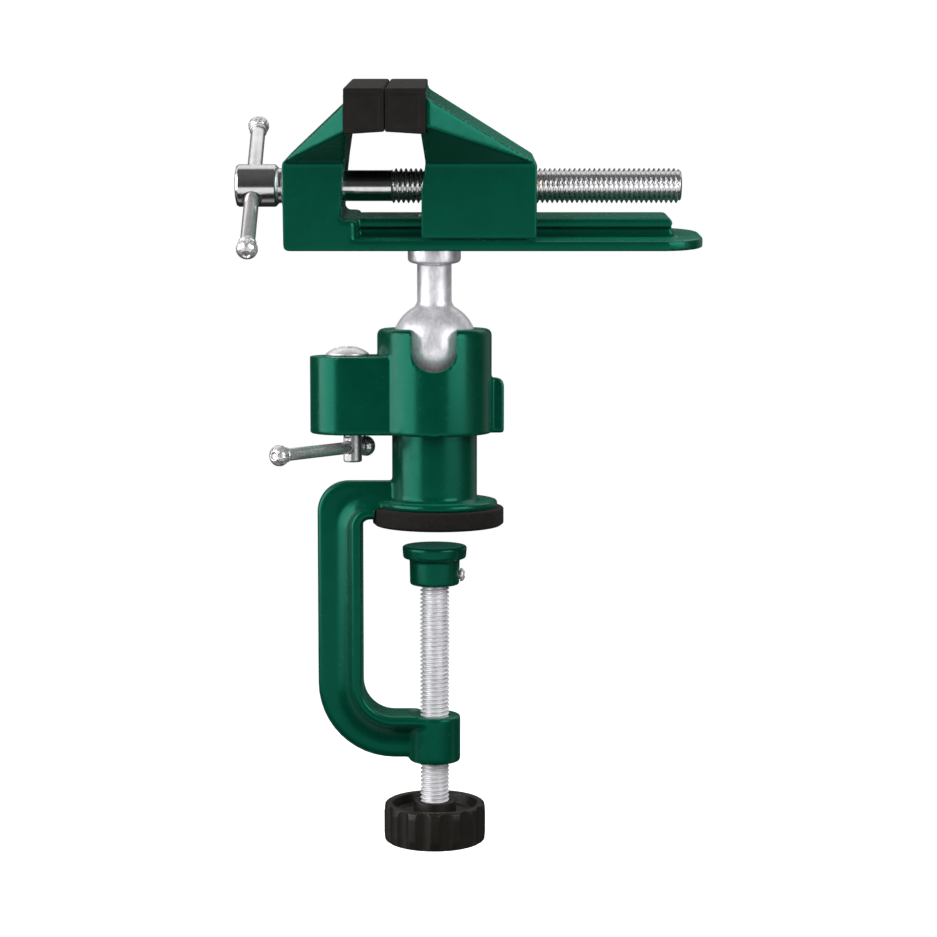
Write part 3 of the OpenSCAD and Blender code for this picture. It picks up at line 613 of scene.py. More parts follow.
class Finish(Sheet):
    """One material, whose colour, gloss and relief follow patterns on the piece."""

    def __init__(self, name, colour, metallic=0.0, roughness=0.5, **sockets):
        self.material = bpy.data.materials.new(name)
        self.material.use_nodes = True
        super().__init__(self.material.node_tree)
        self.shader = self.tree.nodes["Principled BSDF"]
        self.colour = tuple(colour)
        self.shader.inputs["Base Color"].default_value = opaque(colour)
        self.shader.inputs["Metallic"].default_value = metallic
        self.shader.inputs["Roughness"].default_value = roughness
        for key, value in sockets.items():
            self.shader.inputs[key.replace("_", " ")].default_value = value
        self.place = self.add("ShaderNodeTexCoord").outputs["Object"]
        self.normal = None

    def grain(self, size, detail=2.0, stretch=(1, 1, 1), turn=(0, 0, 0)):
        """Noise with features of a size in millimetres, stretched along an axis where asked."""
        mapped = self.add(
            "ShaderNodeMapping", {"Vector": self.place, "Rotation": turn, "Scale": stretch}
        )
        return self.add(
            "ShaderNodeTexNoise",
            {"Vector": mapped.outputs[0], "Scale": 1 / (size * MM), "Detail": detail, "Roughness": 0.6},
        ).outputs[0]

    def paint(self, colour):
        """Takes an output as the colour."""
        self.painted = colour
        self.put(self.shader.inputs["Base Color"], colour)

    def tone(self, pattern, low, high):
        """Colour that goes from low to high times its own lightness with a pattern."""
        ramp = self.add("ShaderNodeValToRGB", {"Fac": pattern})
        for stop, position, level in zip(ramp.color_ramp.elements, (0.3, 0.7), (low, high)):
            stop.position, stop.color = position, opaque(min(1.0, c * level) for c in self.colour)
        self.paint(ramp.outputs["Color"])

    def gloss(self, pattern, low, high):
        """Roughness from low to high with a pattern."""
        self.put(self.shader.inputs["Roughness"], self.span(pattern, 0.3, 0.7, low, high))

    def relief(self, pattern, depth):
        """Bump of a depth in millimetres, over the bumps set before."""
        bump = self.add("ShaderNodeBump", {"Height": pattern, "Distance": depth * MM, "Strength": 1.0})
        if self.normal is not None:
            self.put(bump.inputs["Normal"], self.normal)
        self.normal = bump.outputs["Normal"]
        self.put(self.shader.inputs["Normal"], self.normal)

    def painted_edge_highlight(self, colour, amount):
        """Painted highlight: a lighter colour along convex edges, broken up by a pattern."""
        edge = self.add("ShaderNodeNewGeometry").outputs["Pointiness"]
        line = self.span(edge, 0.52, 0.6, 0.0, amount)
        highlit = self.times(line, self.span(self.grain(3.0), 0.35, 0.6, 0.2, 1.0))
        mix = self.add("ShaderNodeMix", {0: highlit, 6: self.painted, 7: opaque(colour)}, data_type="RGBA")
        self.paint(mix.outputs[2])


def powder_coat(name, colours):
    """Green coat on the castings, with a painted highlight along convex edges, and a fine orange peel."""
    coat = Finish(
        name, colours.paint, roughness=0.24, Specular_IOR_Level=0.62, Specular_Tint=opaque(colours.sheen),
        Sheen_Tint=opaque(colours.bloom), Sheen_Weight=0.2, Sheen_Roughness=0.3,
    )
    coat.tone(coat.grain(9.0, 3.0), 0.9, 1.1)
    # Painted highlight along convex edges, in a lighter green than the paint
    coat.painted_edge_highlight([c * 2.1 + 0.004 for c in colours.paint], 0.45)
    coat.gloss(coat.grain(4.0, 4.0), 0.2, 0.28)
    coat.relief(coat.grain(1.3, 1.0), 0.008)
    coat.relief(coat.grain(0.28, 1.0), 0.0016)
    return coat.material


def moulding(name, colour, roughness, pore, depth, specular):
    """Moulded plastic with pores of a size and depth in millimetres."""
    skin = Finish(name, colour, roughness=roughness, Specular_IOR_Level=specular)
    skin.tone(skin.grain(6.0, 4.0), 0.82, 1.22)
    skin.gloss(skin.grain(2.0, 3.0), roughness - 0.06, roughness + 0.08)
    skin.relief(skin.grain(pore, 2.0), depth)
    skin.relief(skin.grain(7.0, 1.0), depth * 1.5)
    return skin.material


def rubber(name, colour):
    """Matt rubber with a fine grain."""
    skin = Finish(
        name, colour, roughness=0.75, Specular_IOR_Level=0.1, Sheen_Weight=0.02, Sheen_Roughness=0.6
    )
    skin.tone(skin.grain(2.4, 5.0), 0.75, 1.35)
    skin.gloss(skin.grain(1.6, 3.0), 0.66, 0.84)
    skin.relief(skin.grain(0.35, 3.0), 0.03)
    return skin.material


def metal(
    name, colour, roughness, marks=(1, 1, 1), turn=(0, 0, 0), depth=0.001, low=0.9, high=1.06, metallic=1.0
):
    """Turned or drawn metal. Marks say how fine the tool marks are along each axis."""
    skin = Finish(name, colour, metallic=metallic, roughness=roughness)
    drawn = skin.grain(1.1, 3.0, marks, turn)
    skin.tone(skin.grain(3.5, 3.0), low, high)
    skin.gloss(drawn, roughness * 0.75, roughness * 1.3)
    skin.relief(drawn, depth)
    skin.relief(skin.grain(5.0, 1.0), depth * 3)
    return skin.material


def crimped(name, colour):
    """Plated end knob with the small facets that the press leaves."""
    facet = 1.1
    skin = Finish(name, colour, metallic=0.84, roughness=0.3)
    skin.tone(skin.grain(1.2, 3.0), 0.82, 1.1)
    skin.gloss(skin.grain(0.8, 2.0), 0.2, 0.42)
    facets = skin.add("ShaderNodeTexVoronoi", {"Vector": skin.place, "Scale": 1 / (facet * MM)})
    skin.relief(facets.outputs["Distance"], 0.16)
    return skin.material


def raw_casting(name, colour):
    """Bare cast alloy, its marks drawn out along the height."""
    skin = Finish(name, colour, metallic=0.66, roughness=0.38)
    skin.tone(skin.grain(1.3, 6.0, (1, 1, 0.45)), 0.76, 1.1)
    skin.gloss(skin.grain(0.9, 4.0), 0.3, 0.46)
    skin.relief(skin.grain(0.7, 4.0, (1, 1, 0.5)), 0.02)
    skin.relief(skin.grain(4.0, 2.0), 0.03)
    return skin.material


def finish(name):
    """The material of that name, made when it is first asked for."""
    if name in bpy.data.materials:
        return bpy.data.materials[name]
    colours = bpy.context.scene.vise_colours
    bright, zinc, dull = colours.bright, colours.zinc, [c * 0.45 for c in colours.zinc]
    rings_x, rings_z = (9, 0.4, 0.4), (0.4, 0.4, 9)
    handle_turn, lever_turn = (-(HANDLE_TURN + TILT), 0, 0), (0, 0, -LEVER_TURN)
    makers = {
        "green_powder_coat": lambda n: powder_coat(n, colours),
        "soft_cap_plastic": lambda n: moulding(n, colours.caps, 0.56, 0.4, 0.012, 0.12),
        "pad_rubber": lambda n: rubber(n, colours.rubber),
        "moulded_knob_plastic": lambda n: moulding(n, colours.knob, 0.42, 0.5, 0.012, 0.3),
        "nickel_along_x": lambda n: metal(n, bright, 0.17, rings_x),
        "nickel_thread": lambda n: metal(n, bright, 0.16, rings_x, metallic=0.96),
        "nickel_handle": lambda n: metal(n, bright, 0.2, rings_z, handle_turn, metallic=0.86),
        "nickel_crimped": lambda n: crimped(n, bright),
        "nickel_lever": lambda n: metal(n, bright, 0.24, rings_x, lever_turn, metallic=0.86),
        "nickel_screw_head": lambda n: metal(n, bright, 0.34, metallic=0.72),
        "zinc_spindle": lambda n: metal(n, zinc, 0.36, rings_z, depth=0.0015, low=0.86, metallic=0.62),
        "zinc_small_parts": lambda n: metal(n, zinc, 0.36, low=0.8),
        "dark_zinc_shaft": lambda n: metal(n, dull, 0.38, rings_z, low=0.8, high=1.3),
        "raw_alloy_casting": lambda n: raw_casting(n, colours.alloy),
        "turned_brass": lambda n: metal(n, colours.brass, 0.3, rings_x, low=0.85),
    }
    return makers[name](name)


# Pieces


def piece_of(mesh, name, body, nodes, material, place=None, crease=35):
    """Makes a finished piece on a body: its place goes in its mesh, and the CAD nodes it stands for are
    hidden.
    """
    if place is not None:
        metric = place.copy()
        metric.translation = place.translation * MM
        mesh.transform(metric)
    mesh.name = name
    shaded(mesh, crease)
    mesh.materials.clear()
    mesh.materials.append(material)
    piece = linked(name, mesh)
    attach(piece, body)
    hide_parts(*nodes)
    return piece


def casting(mesh, grain, passes, name, body, node, place=None):
    """Makes a painted casting out of a machined mesh."""
    mesh = cast(mesh, grain, passes)
    piece_of(mesh, name, body, [node], finish("green_powder_coat"), place)


def round_box(node):
    """Middle along X, radius, foot and top of an upright round CAD node, in millimetres."""
    low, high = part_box(node)
    return (low.x + high.x) / 2 / MM, (high.x - low.x) / 2 / MM, low.z / MM, high.z / MM


class VISE_OT_clamp_casting(bpy.types.Operator):
    """Make the casting with the clamp arm, the disc, the column and the threaded boss"""

    bl_idname = "vise.clamp_casting"
    bl_label = "Clamp Casting"

    # The arm's depth away from the throat, its rim, web and hollow side, its lower bend and upper corner
    arm_depth, top_arm_depth, arm_top, low_face = 18.5, 15.2, 18.2, -79.0
    rim_half, rim_thick, web_half, hollow_r, hollow_x = 10.0, 4.0, 4.0, 9.0, 12.485
    throat_x, corner, corner_r, bend, bend_r = -29.8, (-26.5, -0.3), 3.3, (-16.8, -66.0), 13.0
    outer_corner, outer_corner_r = (-35.8, 5.7), 12.5

    def section(self, depth):
        """Section of the arm: outwards from the throat, and across."""
        hollow = (self.hollow_x, self.web_half + self.hollow_r)
        first = math.asin((self.rim_half - hollow[1]) / self.hollow_r)
        half = [
            *rounded([(0, 0, 0), (0, self.rim_half, 1.6), (self.rim_thick, self.rim_half, 1.3)], 5, False),
            *arc(hollow, self.hollow_r, math.pi - first, math.pi / 2 + first, 8)[1:],
            *rounded([(depth - 4, self.web_half, 0), (depth, self.web_half, 2.6), (depth, 0, 0)], 6, False),
        ]
        return half[:-1] + [(x, -y) for x, y in half[:0:-1]]

    def corner_depth(self, angle):
        """Depth of the arm on a ray from the inner corner's centre to the outer outline."""
        way = Vector((-math.cos(angle), math.sin(angle)))
        to_centre = Vector(self.corner) - Vector(self.outer_corner)
        along = way.dot(to_centre)
        reach = -along + math.sqrt(along**2 - to_centre.length_squared + self.outer_corner_r**2)
        hit = Vector(self.corner) + way * reach
        if hit.x > self.outer_corner[0]:
            reach = (self.arm_top - self.corner[1]) / way.y
        elif hit.y < self.outer_corner[1]:
            reach = (self.throat_x - self.arm_depth - self.corner[0]) / way.x
        return reach - self.corner_r

    def arm(self):
        """Shell of the arm, from the boss round the bend and the upper corner to the column."""
        rings = []

        def station(x, z, angle, depth):
            out_x, out_z = -math.cos(angle), math.sin(angle)
            section = self.section(depth)
            rings.append([(x + out * out_x, across, z + out * out_z) for out, across in section])

        def swept(centre, radius, angle, depth):
            x, z = centre[0] - radius * math.cos(angle), centre[1] + radius * math.sin(angle)
            station(x, z, angle, depth)

        bend_steps, corner_steps = 12, 16
        for x in (-3.0, -9.0, self.bend[0]):
            station(x, self.low_face, -math.pi / 2, self.arm_depth)
        for step in range(1, bend_steps + 1):
            angle = -math.pi / 2 * (1 - step / bend_steps)
            swept(self.bend, self.bend_r, angle, self.arm_depth)
        for z in (-44.0, -22.0):
            station(self.throat_x, z, 0, self.arm_depth)
        for step in range(corner_steps + 1):
            angle = math.pi / 2 * step / corner_steps
            swept(self.corner, self.corner_r, angle, self.corner_depth(angle))
        station(-9.0, self.corner[1] + self.corner_r, math.pi / 2, self.top_arm_depth)
        return skinned(rings)

    def execute(self, context):
        look = context.scene.vise_casting
        pad_x, pad_r, _, pad_top = round_box("table_pad")
        disc_r, disc_top, spigot_r, column_r, column_top, fillet = 24.4, 10.5, 12.0, 17.5, 53.1, 3.0
        boss_r, boss_top, boss_low, spot_face, bore_r = 10.7, -79.5, -99.3, 0.35, 6.05
        column = lathed(
            [(0, pad_top, 0), (column_r + fillet, pad_top, 0), (column_r + fillet, disc_top, 0),
             (column_r, disc_top, fillet), (column_r, column_top, 1.2), (0, column_top, 0)], 8,
        )
        mesh = machined(
            self.arm(),
            cut(shifted(rod(pad_r + 0.3, -20, pad_top), pad_x)),
            join(shifted(rod(disc_r, pad_top, disc_top, 1.0), pad_x)),
            join(shifted(rod(spigot_r, pad_top - 4, pad_top + 1), pad_x)),
            join(column),
            join(rod(boss_r, boss_low, boss_top, 1.0)),
            cut(rod(boss_r + 0.6, boss_top - spot_face, boss_top + 8)),
            cut(rod(bore_r, boss_low - 5, boss_top + 5)),
        )
        casting(mesh, look.base_grain, look.base_rounding, "clamp_casting", "frame", "clamp_frame")
        return {"FINISHED"}


class VISE_OT_table_pads(bpy.types.Operator):
    """Make the rubber pad on the table and the swivel pad with its keeper screw under it"""

    bl_idname = "vise.table_pads"
    bl_label = "Table Pads"

    keeper_z = -21.0

    def rubber_pad(self):
        middle, radius, _, top = round_box("table_pad")
        spigot_r, spigot_z, groove = 12.1, 3.4, 0.9
        body = lathed(
            [(0, 0, 0), (radius - 1.2, 0, 0.5), (radius, 1.0, 0.6), (radius, top, 0.9), (spigot_r, top, 0.3),
             (spigot_r, spigot_z, 0), (0, spigot_z, 0)], steps=160,
        )
        grip = [cut(turned_ring(r, r + groove, -1, 0.5)) for r in (8.0, 13.0, 18.0, 23.0)]
        piece_of(
            machined(body, *grip), "rubber_table_pad", "frame", ["table_pad"],
            finish("pad_rubber"), Matrix.Translation((middle, 0, 0)),
        )

    def swivel_pad(self):
        _, face_r, foot_z, face_z = round_box("swivel_pad")
        flange_z, hub_r, bore_r, bore_top, keeper_bore = -14.0, 10.4, 5.05, -12.1, 2.05
        body = lathed(
            [(0, face_z, 0), (face_r, face_z, 0.8), (face_r - 0.4, flange_z, 1.0), (hub_r, flange_z, 1.2),
             (hub_r - 0.2, foot_z, 1.0), (0, foot_z, 0)]
        )
        mesh = machined(
            body,
            cut(rod(bore_r, foot_z - 5, bore_top)),
            cut(bar_x(keeper_bore, 0, 20, self.keeper_z, steps=48)),
        )
        casting(mesh, 0.42 * MM, 3, "swivel_pad_casting", "swivel", "swivel_pad")

    def keeper_screw(self):
        head_r, head_h, shank_r, seat, tip = 2.7, 2.0, 1.95, 10.5, 3.8
        head = lathed(
            [(0, 0, 0), (head_r, 0, 0.2), (head_r, head_h * 0.55, 1.0), (head_r * 0.5, head_h, 0.4),
             (0, head_h, 0)], steps=64,
        )
        half_len, half_wide, depth = 1.8, 0.42, 0.9
        slot = block((-half_len, half_len), (-half_wide, half_wide), (head_h - depth, head_h + 1))
        slots = [cut(placed(slot, Matrix.Rotation(turn, 4, "Z"))) for turn in (0, math.pi / 2)]
        screw = merged(machined(head, *slots), rod(shank_r, tip - seat, 0.1, 0.3, 48))
        piece_of(
            screw, "keeper_screw", "swivel", ["pad_keeper_screw"],
            finish("nickel_screw_head"), Matrix.Translation((seat, 0, self.keeper_z)) @ ALONG_X,
        )

    def execute(self, context):
        self.rubber_pad()
        self.swivel_pad()
        self.keeper_screw()
        return {"FINISHED"}


class VISE_OT_clamp_spindle(bpy.types.Operator):
    """Make the threaded clamp spindle and the fluted knob on its lower end"""

    bl_idname = "vise.clamp_spindle"
    bl_label = "Clamp Spindle and Knob"

    def spindle(self, threads):
        low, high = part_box("clamp_spindle")
        top, journal_foot, journal_r = high.z / MM, -25.1, 5.0
        groove_low, groove_high, groove_r = -23.3, -18.7, 3.5
        pitch, radius, material = threads.clamp_pitch, threads.clamp_radius, finish("zinc_spindle")
        thread = threaded_bar(
            threads, material, low.z, journal_foot * MM - low.z, pitch, radius, depth=pitch * 0.58,
            start_radius=radius * 0.85, chamfer=0.8 * MM,
        )
        journal = lathed(
            [(0, journal_foot - 1, 0), (journal_r, journal_foot - 1, 0), (journal_r, groove_low, 0.2),
             (groove_r, groove_low, 0.2), (groove_r, groove_high, 0.2), (journal_r, groove_high, 0.2),
             (journal_r, top, 0.6), (0, top, 0)], 3, 64,
        )
        piece_of(
            merged(thread, journal), "clamp_spindle_screw", "spindle", ["clamp_spindle"],
            material, crease=50,
        )

    def knob(self, grip):
        _, radius, foot, top = round_box("clamp_knob")
        recess_r, recess_z, hub_r, hub_top = 17.5, top - 4.4, 9.0, top + 0.9
        bore_r, bore_foot, middle_r, groove = 6.05, top - 12.1, 12.0, foot + 0.8
        body = lathed(
            [(0, foot, 0), (middle_r - 1, foot, 0.4), (middle_r, groove, 0.4), (radius - 3.6, groove, 0.6),
             (radius - 3.0, foot, 0.5), (radius - 0.4, foot, 1.8), (radius, foot + 4, 2),
             (radius, top - 3, 2), (radius - 0.5, top, 1.6), (recess_r, top, 0.9),
             (recess_r - 0.8, recess_z, 0.8), (hub_r, recess_z, 0.6), (hub_r - 0.3, hub_top, 0.6),
             (bore_r, hub_top, 0.4), (bore_r, bore_foot, 0), (0, bore_foot, 0)],
            steps=24 * grip.flutes,
        )
        material = finish("moulded_knob_plastic")
        knob = fluted(
            mesh_of(body), material, grip.flutes, radius * MM, grip.flute_radius, grip.flute_depth
        )
        piece_of(
            knob, "fluted_clamp_knob", "spindle", ["clamp_knob"], material, crease=50
        )

    def execute(self, context):
        self.spindle(context.scene.vise_threads)
        self.knob(context.scene.vise_grip)
        return {"FINISHED"}


class VISE_OT_socket_casting(bpy.types.Operator):
    """Make the casting that turns on the column and holds the ball"""

    bl_idname = "vise.socket_casting"
    bl_label = "Socket Casting"

    def execute(self, context):
        look = context.scene.vise_casting
        foot, top, radius, bore_r = 38.0, 81.0, 23.5, 17.55
        lug_r, lug_top, shaft_bore, shaft_bore_top, journal_bore = 15.4, 69.7, 7.05, 62.0, 5.05
        rib_x, rib_top, rib_y = 28.6, 60.6, (-1.0, 5.0)
        notch_r, notch_z = 9.0, 73.1
        shoe_back, shoe_half, shoe_z = -29.6, 7.0, (43.9, 67.6)
        drum = lathed([(0, foot, 0), (radius, foot, 0.6), (radius, top, 2.6), (0, top, 0)], 8, 160)
        lug = [(0, -lug_r), (0, lug_r), *arc((LUG_X, 0), lug_r, math.pi / 2, math.pi, 40)]
        rib = rounded([(0, foot, 0), (rib_x, foot, 1.0), (rib_x, rib_top, 3.2), (0, rib_top, 0)], 8)
        notch = [(-notch_r, top + 5), (notch_r, top + 5), *arc((0, notch_z), notch_r, 0, -math.pi, 32)]
        ball = turned(arc((0, BALL_Z), bore_r, -math.pi / 2, math.pi, 60), 160)
        mesh = machined(
            drum,
            join(prism(lug, foot, lug_top)),
            join(prism(rib, *rib_y, along="y")),
            cut(rod(bore_r, foot - 5, BALL_Z, steps=160)),
            cut(ball),
            cut(prism(notch, -40, 0, along="y")),
            cut(shifted(rod(shaft_bore, foot - 5, shaft_bore_top), LUG_X)),
            cut(shifted(rod(journal_bore, foot, lug_top + 5), LUG_X)),
            cut(block((shoe_back, 0), (-shoe_half, shoe_half), shoe_z)),
        )
        casting(mesh, look.base_grain, look.base_rounding, "socket_casting", "housing", "socket_housing")
        return {"FINISHED"}


class VISE_OT_ball_stud(bpy.types.Operator):
    """Make the bare cast ball with its neck and flange"""

    bl_idname = "vise.ball_stud"
    bl_label = "Ball Stud"

    def execute(self, context):
        ball_r, neck_r, flange_r, flange_z, top, bolt_r, bolt_len = 17.5, 7.0, 10.8, 34.0, 41.2, 4.05, 17.1
        neck_start = math.acos((neck_r + 1.2) / ball_r)
        ball = arc((0, 0), ball_r, -math.pi / 2, math.pi / 2 + neck_start, 56)
        neck = rounded(
            [ball[-1] + (0,), (neck_r, ball[-1][1] + 2.2, 3.0), (neck_r, flange_z, 1.0),
             (flange_r, flange_z, 1.5), (flange_r, top, 0.7), (bolt_r, top, 0.3),
             (bolt_r, top - bolt_len, 0), (0, top - bolt_len, 0)], 6, False,
        )
        mesh = mesh_of(turned(ball + neck[1:], 128))
        piece_of(
            mesh, "ball_stud_casting", "stud", ["ball_stud"], finish("raw_alloy_casting"),
            HEAD, 50,
        )
        return {"FINISHED"}


# Heights in the head's frame, half widths, and the two jaws' faces
PLATE_Z, PLATE_TOP, WEB_TOP, RAIL_TOP, BLOCK_TOP = 41.2, 45.4, 49.6, 53.0, 75.8
CAP_LOW, CAP_TOP, HEAD_HALF, JAW_HALF = 88.0, 105.7, 24.0, 37.5
FIXED_FACE, MOVING_FACE = -34.65, -2.65
NOSE_LEN, LEAN = 13.9, 2.2
FAR = 200.0  # past everything


def jaw_front(wing_low):
    """Shell that a jaw keeps to, seen along the screw: it widens above the block."""
    half = [
        (HEAD_HALF, PLATE_Z - 5), (HEAD_HALF, BLOCK_TOP), (JAW_HALF, CAP_LOW + wing_low),
        (JAW_HALF, CAP_TOP + 20),
    ]
    return prism(half + [(-y, z) for y, z in half[::-1]], -FAR, FAR, along="x")


def jaw_plan(end, face, far):
    """Shell that a jaw keeps to, seen from above: it widens from the block's end to the cap."""
    half = [(end, HEAD_HALF), (face, JAW_HALF), (far, JAW_HALF)]
    return prism(half + [(x, -y) for x, y in half[::-1]], 0, FAR)


def jaw_nose(start, end):
    """Bar on a jaw that the cap slips over."""
    half, low, top = 36.5, 90.0, 103.7
    return block((start, end), (-half, half), (low, top))


class VISE_OT_fixed_jaw(bpy.types.Operator):
    """Make the casting with the base plate, the T rail and the fixed jaw"""

    bl_idname = "vise.fixed_jaw"
    bl_label = "Fixed Jaw and Rail"

    rear, front, rail_end, inner, foot, start = -59.6, 107.9, 95.2, -37.05, -30.45, -33.0

    def block_side(self):
        """Outline of the jaw's block seen from the front."""
        wing_top = 11.0
        return rounded(
            [(self.rear, PLATE_Z, 2.2), (self.foot, PLATE_Z, 0), (self.foot, RAIL_TOP, 0.8),
             (self.inner, RAIL_TOP, 2.0), (self.inner + LEAN / 3, (BLOCK_TOP + RAIL_TOP) / 2, 8),
             (FIXED_FACE + LEAN / 2, BLOCK_TOP + 11.7, 8), (FIXED_FACE + LEAN, CAP_LOW - 0.1, 0),
             (FIXED_FACE, CAP_LOW - 0.1, 0), (FIXED_FACE, CAP_LOW + wing_top, 0),
             (self.rear, BLOCK_TOP, 1.2)], 5,
        )

    def foot_corners(self):
        """Cuts that round the two upright edges of the block's foot."""
        radius = 3
        edge = arc((self.foot - radius, HEAD_HALF - radius), radius, math.pi / 2, -math.pi / 2, 8)
        outline = [
            (self.foot + 1, HEAD_HALF + 1), (self.foot - radius, HEAD_HALF + 1), *edge,
            (self.foot + 1, HEAD_HALF - radius),
        ]
        return [
            cut(prism([(x, side * y) for x, y in outline], PLATE_TOP, RAIL_TOP + 3)) for side in (1, -1)
        ]

    def execute(self, context):
        look = context.scene.vise_casting
        start, front, rail_end = self.start, self.front, self.rail_end
        web_half, rail_half, wing_low, corner_r, fillet = 9.5, 13.0, 0.5, 16.5, 5.1
        journal_bore, ring_bore, bolt_bore, bolt_head_bore, bolt_head_depth = 7.05, 9.8, 4.3, 6.8, 5.1
        plate = rounded(
            [(start, -HEAD_HALF, 0), (front, -HEAD_HALF, corner_r), (front, HEAD_HALF, corner_r),
             (start, HEAD_HALF, 0)], 16,
        )
        web = rounded(
            [(start, PLATE_Z, 0), (rail_end + 10.5, PLATE_Z, 0), (rail_end + 10.5, PLATE_TOP, 0),
             (rail_end, PLATE_TOP, fillet), (rail_end, RAIL_TOP, 2.2), (start, RAIL_TOP, 0)], 8,
        )
        rail = rounded(
            [(start, WEB_TOP, 0), (rail_end, WEB_TOP, 0.8), (rail_end, RAIL_TOP, 2.2),
             (start, RAIL_TOP, 0)], 6,
        )
        mesh = machined(
            prism(self.block_side(), -JAW_HALF, JAW_HALF, along="y"),
            trim(jaw_front(wing_low)),
            trim(jaw_plan(self.rear, FIXED_FACE, 0)),
            *self.foot_corners(),
            join(jaw_nose(FIXED_FACE - 0.05, FIXED_FACE + NOSE_LEN)),
            join(prism(plate, PLATE_Z, PLATE_TOP)),
            join(prism(web, -web_half, web_half, along="y")),
            join(prism(rail, -rail_half, rail_half, along="y")),
            cut(bar_x(journal_bore, self.rear - 5, 0, SCREW_Z)),
            cut(bar_x(ring_bore, self.inner - 4, 0, SCREW_Z)),
            cut(rod(bolt_bore, 0, FAR)),
            cut(rod(bolt_head_bore, RAIL_TOP - bolt_head_depth, FAR)),
        )
        casting(mesh, look.jaw_grain, look.jaw_rounding, "fixed_jaw_casting", "head", "fixed_jaw", HEAD)
        return {"FINISHED"}


class VISE_OT_moving_jaw(bpy.types.Operator):
    """Make the casting that slides on the rail"""

    bl_idname = "vise.moving_jaw"
    bl_label = "Moving Jaw"

    def execute(self, context):
        look = context.scene.vise_casting
        inner, end, skirt, wing_low, wing_top = -4.85, 40.65, 46.2, 2.8, 14.0
        rail_slot, web_slot, screw_bore, nut_bore, nut_depth = 13.6, 10.2, 7.7, 10.05, 18.1
        side = rounded(
            [(inner, skirt, 0.8), (end, skirt, 0.8), (end, BLOCK_TOP, 1.5),
             (MOVING_FACE, CAP_LOW + wing_top, 0), (MOVING_FACE, CAP_LOW - 0.1, 0),
             (inner, CAP_LOW - 0.1, 0), (inner + LEAN * 0.75, BLOCK_TOP, 8),
             (inner, (BLOCK_TOP + RAIL_TOP) / 2, 8)], 5,
        )
        mesh = machined(
            prism(side, -JAW_HALF, JAW_HALF, along="y"),
            trim(jaw_front(wing_low)),
            trim(jaw_plan(end, MOVING_FACE, MOVING_FACE - 75)),
            join(jaw_nose(MOVING_FACE - NOSE_LEN, MOVING_FACE + 0.05)),
            cut(block((-FAR, FAR), (-rail_slot, rail_slot), (WEB_TOP - 0.4, RAIL_TOP + 0.5))),
            cut(block((-FAR, FAR), (-web_slot, web_slot), (PLATE_Z, WEB_TOP))),
            cut(bar_x(screw_bore, -FAR, FAR, SCREW_Z)),
            cut(bar_x(nut_bore, end - nut_depth, FAR, SCREW_Z)),
        )
        casting(
            mesh, look.jaw_grain, look.jaw_rounding, "moving_jaw_casting", "slide_jaw", "moving_jaw", HEAD
        )
        return {"FINISHED"}


class VISE_OT_jaw_caps(bpy.types.Operator):
    """Make the two soft caps that slip over the jaws"""

    bl_idname = "vise.jaw_caps"
    bl_label = "Jaw Caps"

    def cap(self, name, body, node, rear, way):
        """Makes one cap. Way is 1 or -1, along X from its back to its gripping face."""
        length, depth, wall, slope, dent = 38.5, 15.8, 1.9, 1.0, 0.25
        height = CAP_TOP - CAP_LOW

        def facing(corners, steps):
            return [(rear + way * x, CAP_LOW + z) for x, z in rounded(corners, steps)]

        outline = facing([(0, 0, 0.5), (depth, slope, 0.5), (depth, height, 1.1), (0, height, 0.5)], 5)
        left, right, top = 2.2, depth - 1.8, height - 2.4
        panel = facing([(left, 2.6, 0.8), (right, 3.2, 0.8), (right, top, 0.8), (left, top, 0.8)], 4)
        cavity = block(
            sorted((rear - way, rear + way * NOSE_LEN)), (wall - length, length - wall),
            (CAP_LOW + wall, CAP_TOP - wall),
        )
        mesh = machined(
            prism(outline, -length, length, along="y"),
            cut(cavity),
            cut(prism(panel, -length - 1, dent - length, along="y")),
            cut(prism(panel, length - dent, length + 1, along="y")),
        )
        mesh = cast(mesh, 0.5 * MM, 2)
        piece_of(mesh, name, body, [node], finish("soft_cap_plastic"), HEAD)

    def execute(self, context):
        self.cap("fixed_cap", "head", "fixed_jaw_cap", FIXED_FACE + 0.1, 1)
        self.cap("moving_cap", "slide_jaw", "moving_jaw_cap", MOVING_FACE - 0.2, -1)
        return {"FINISHED"}


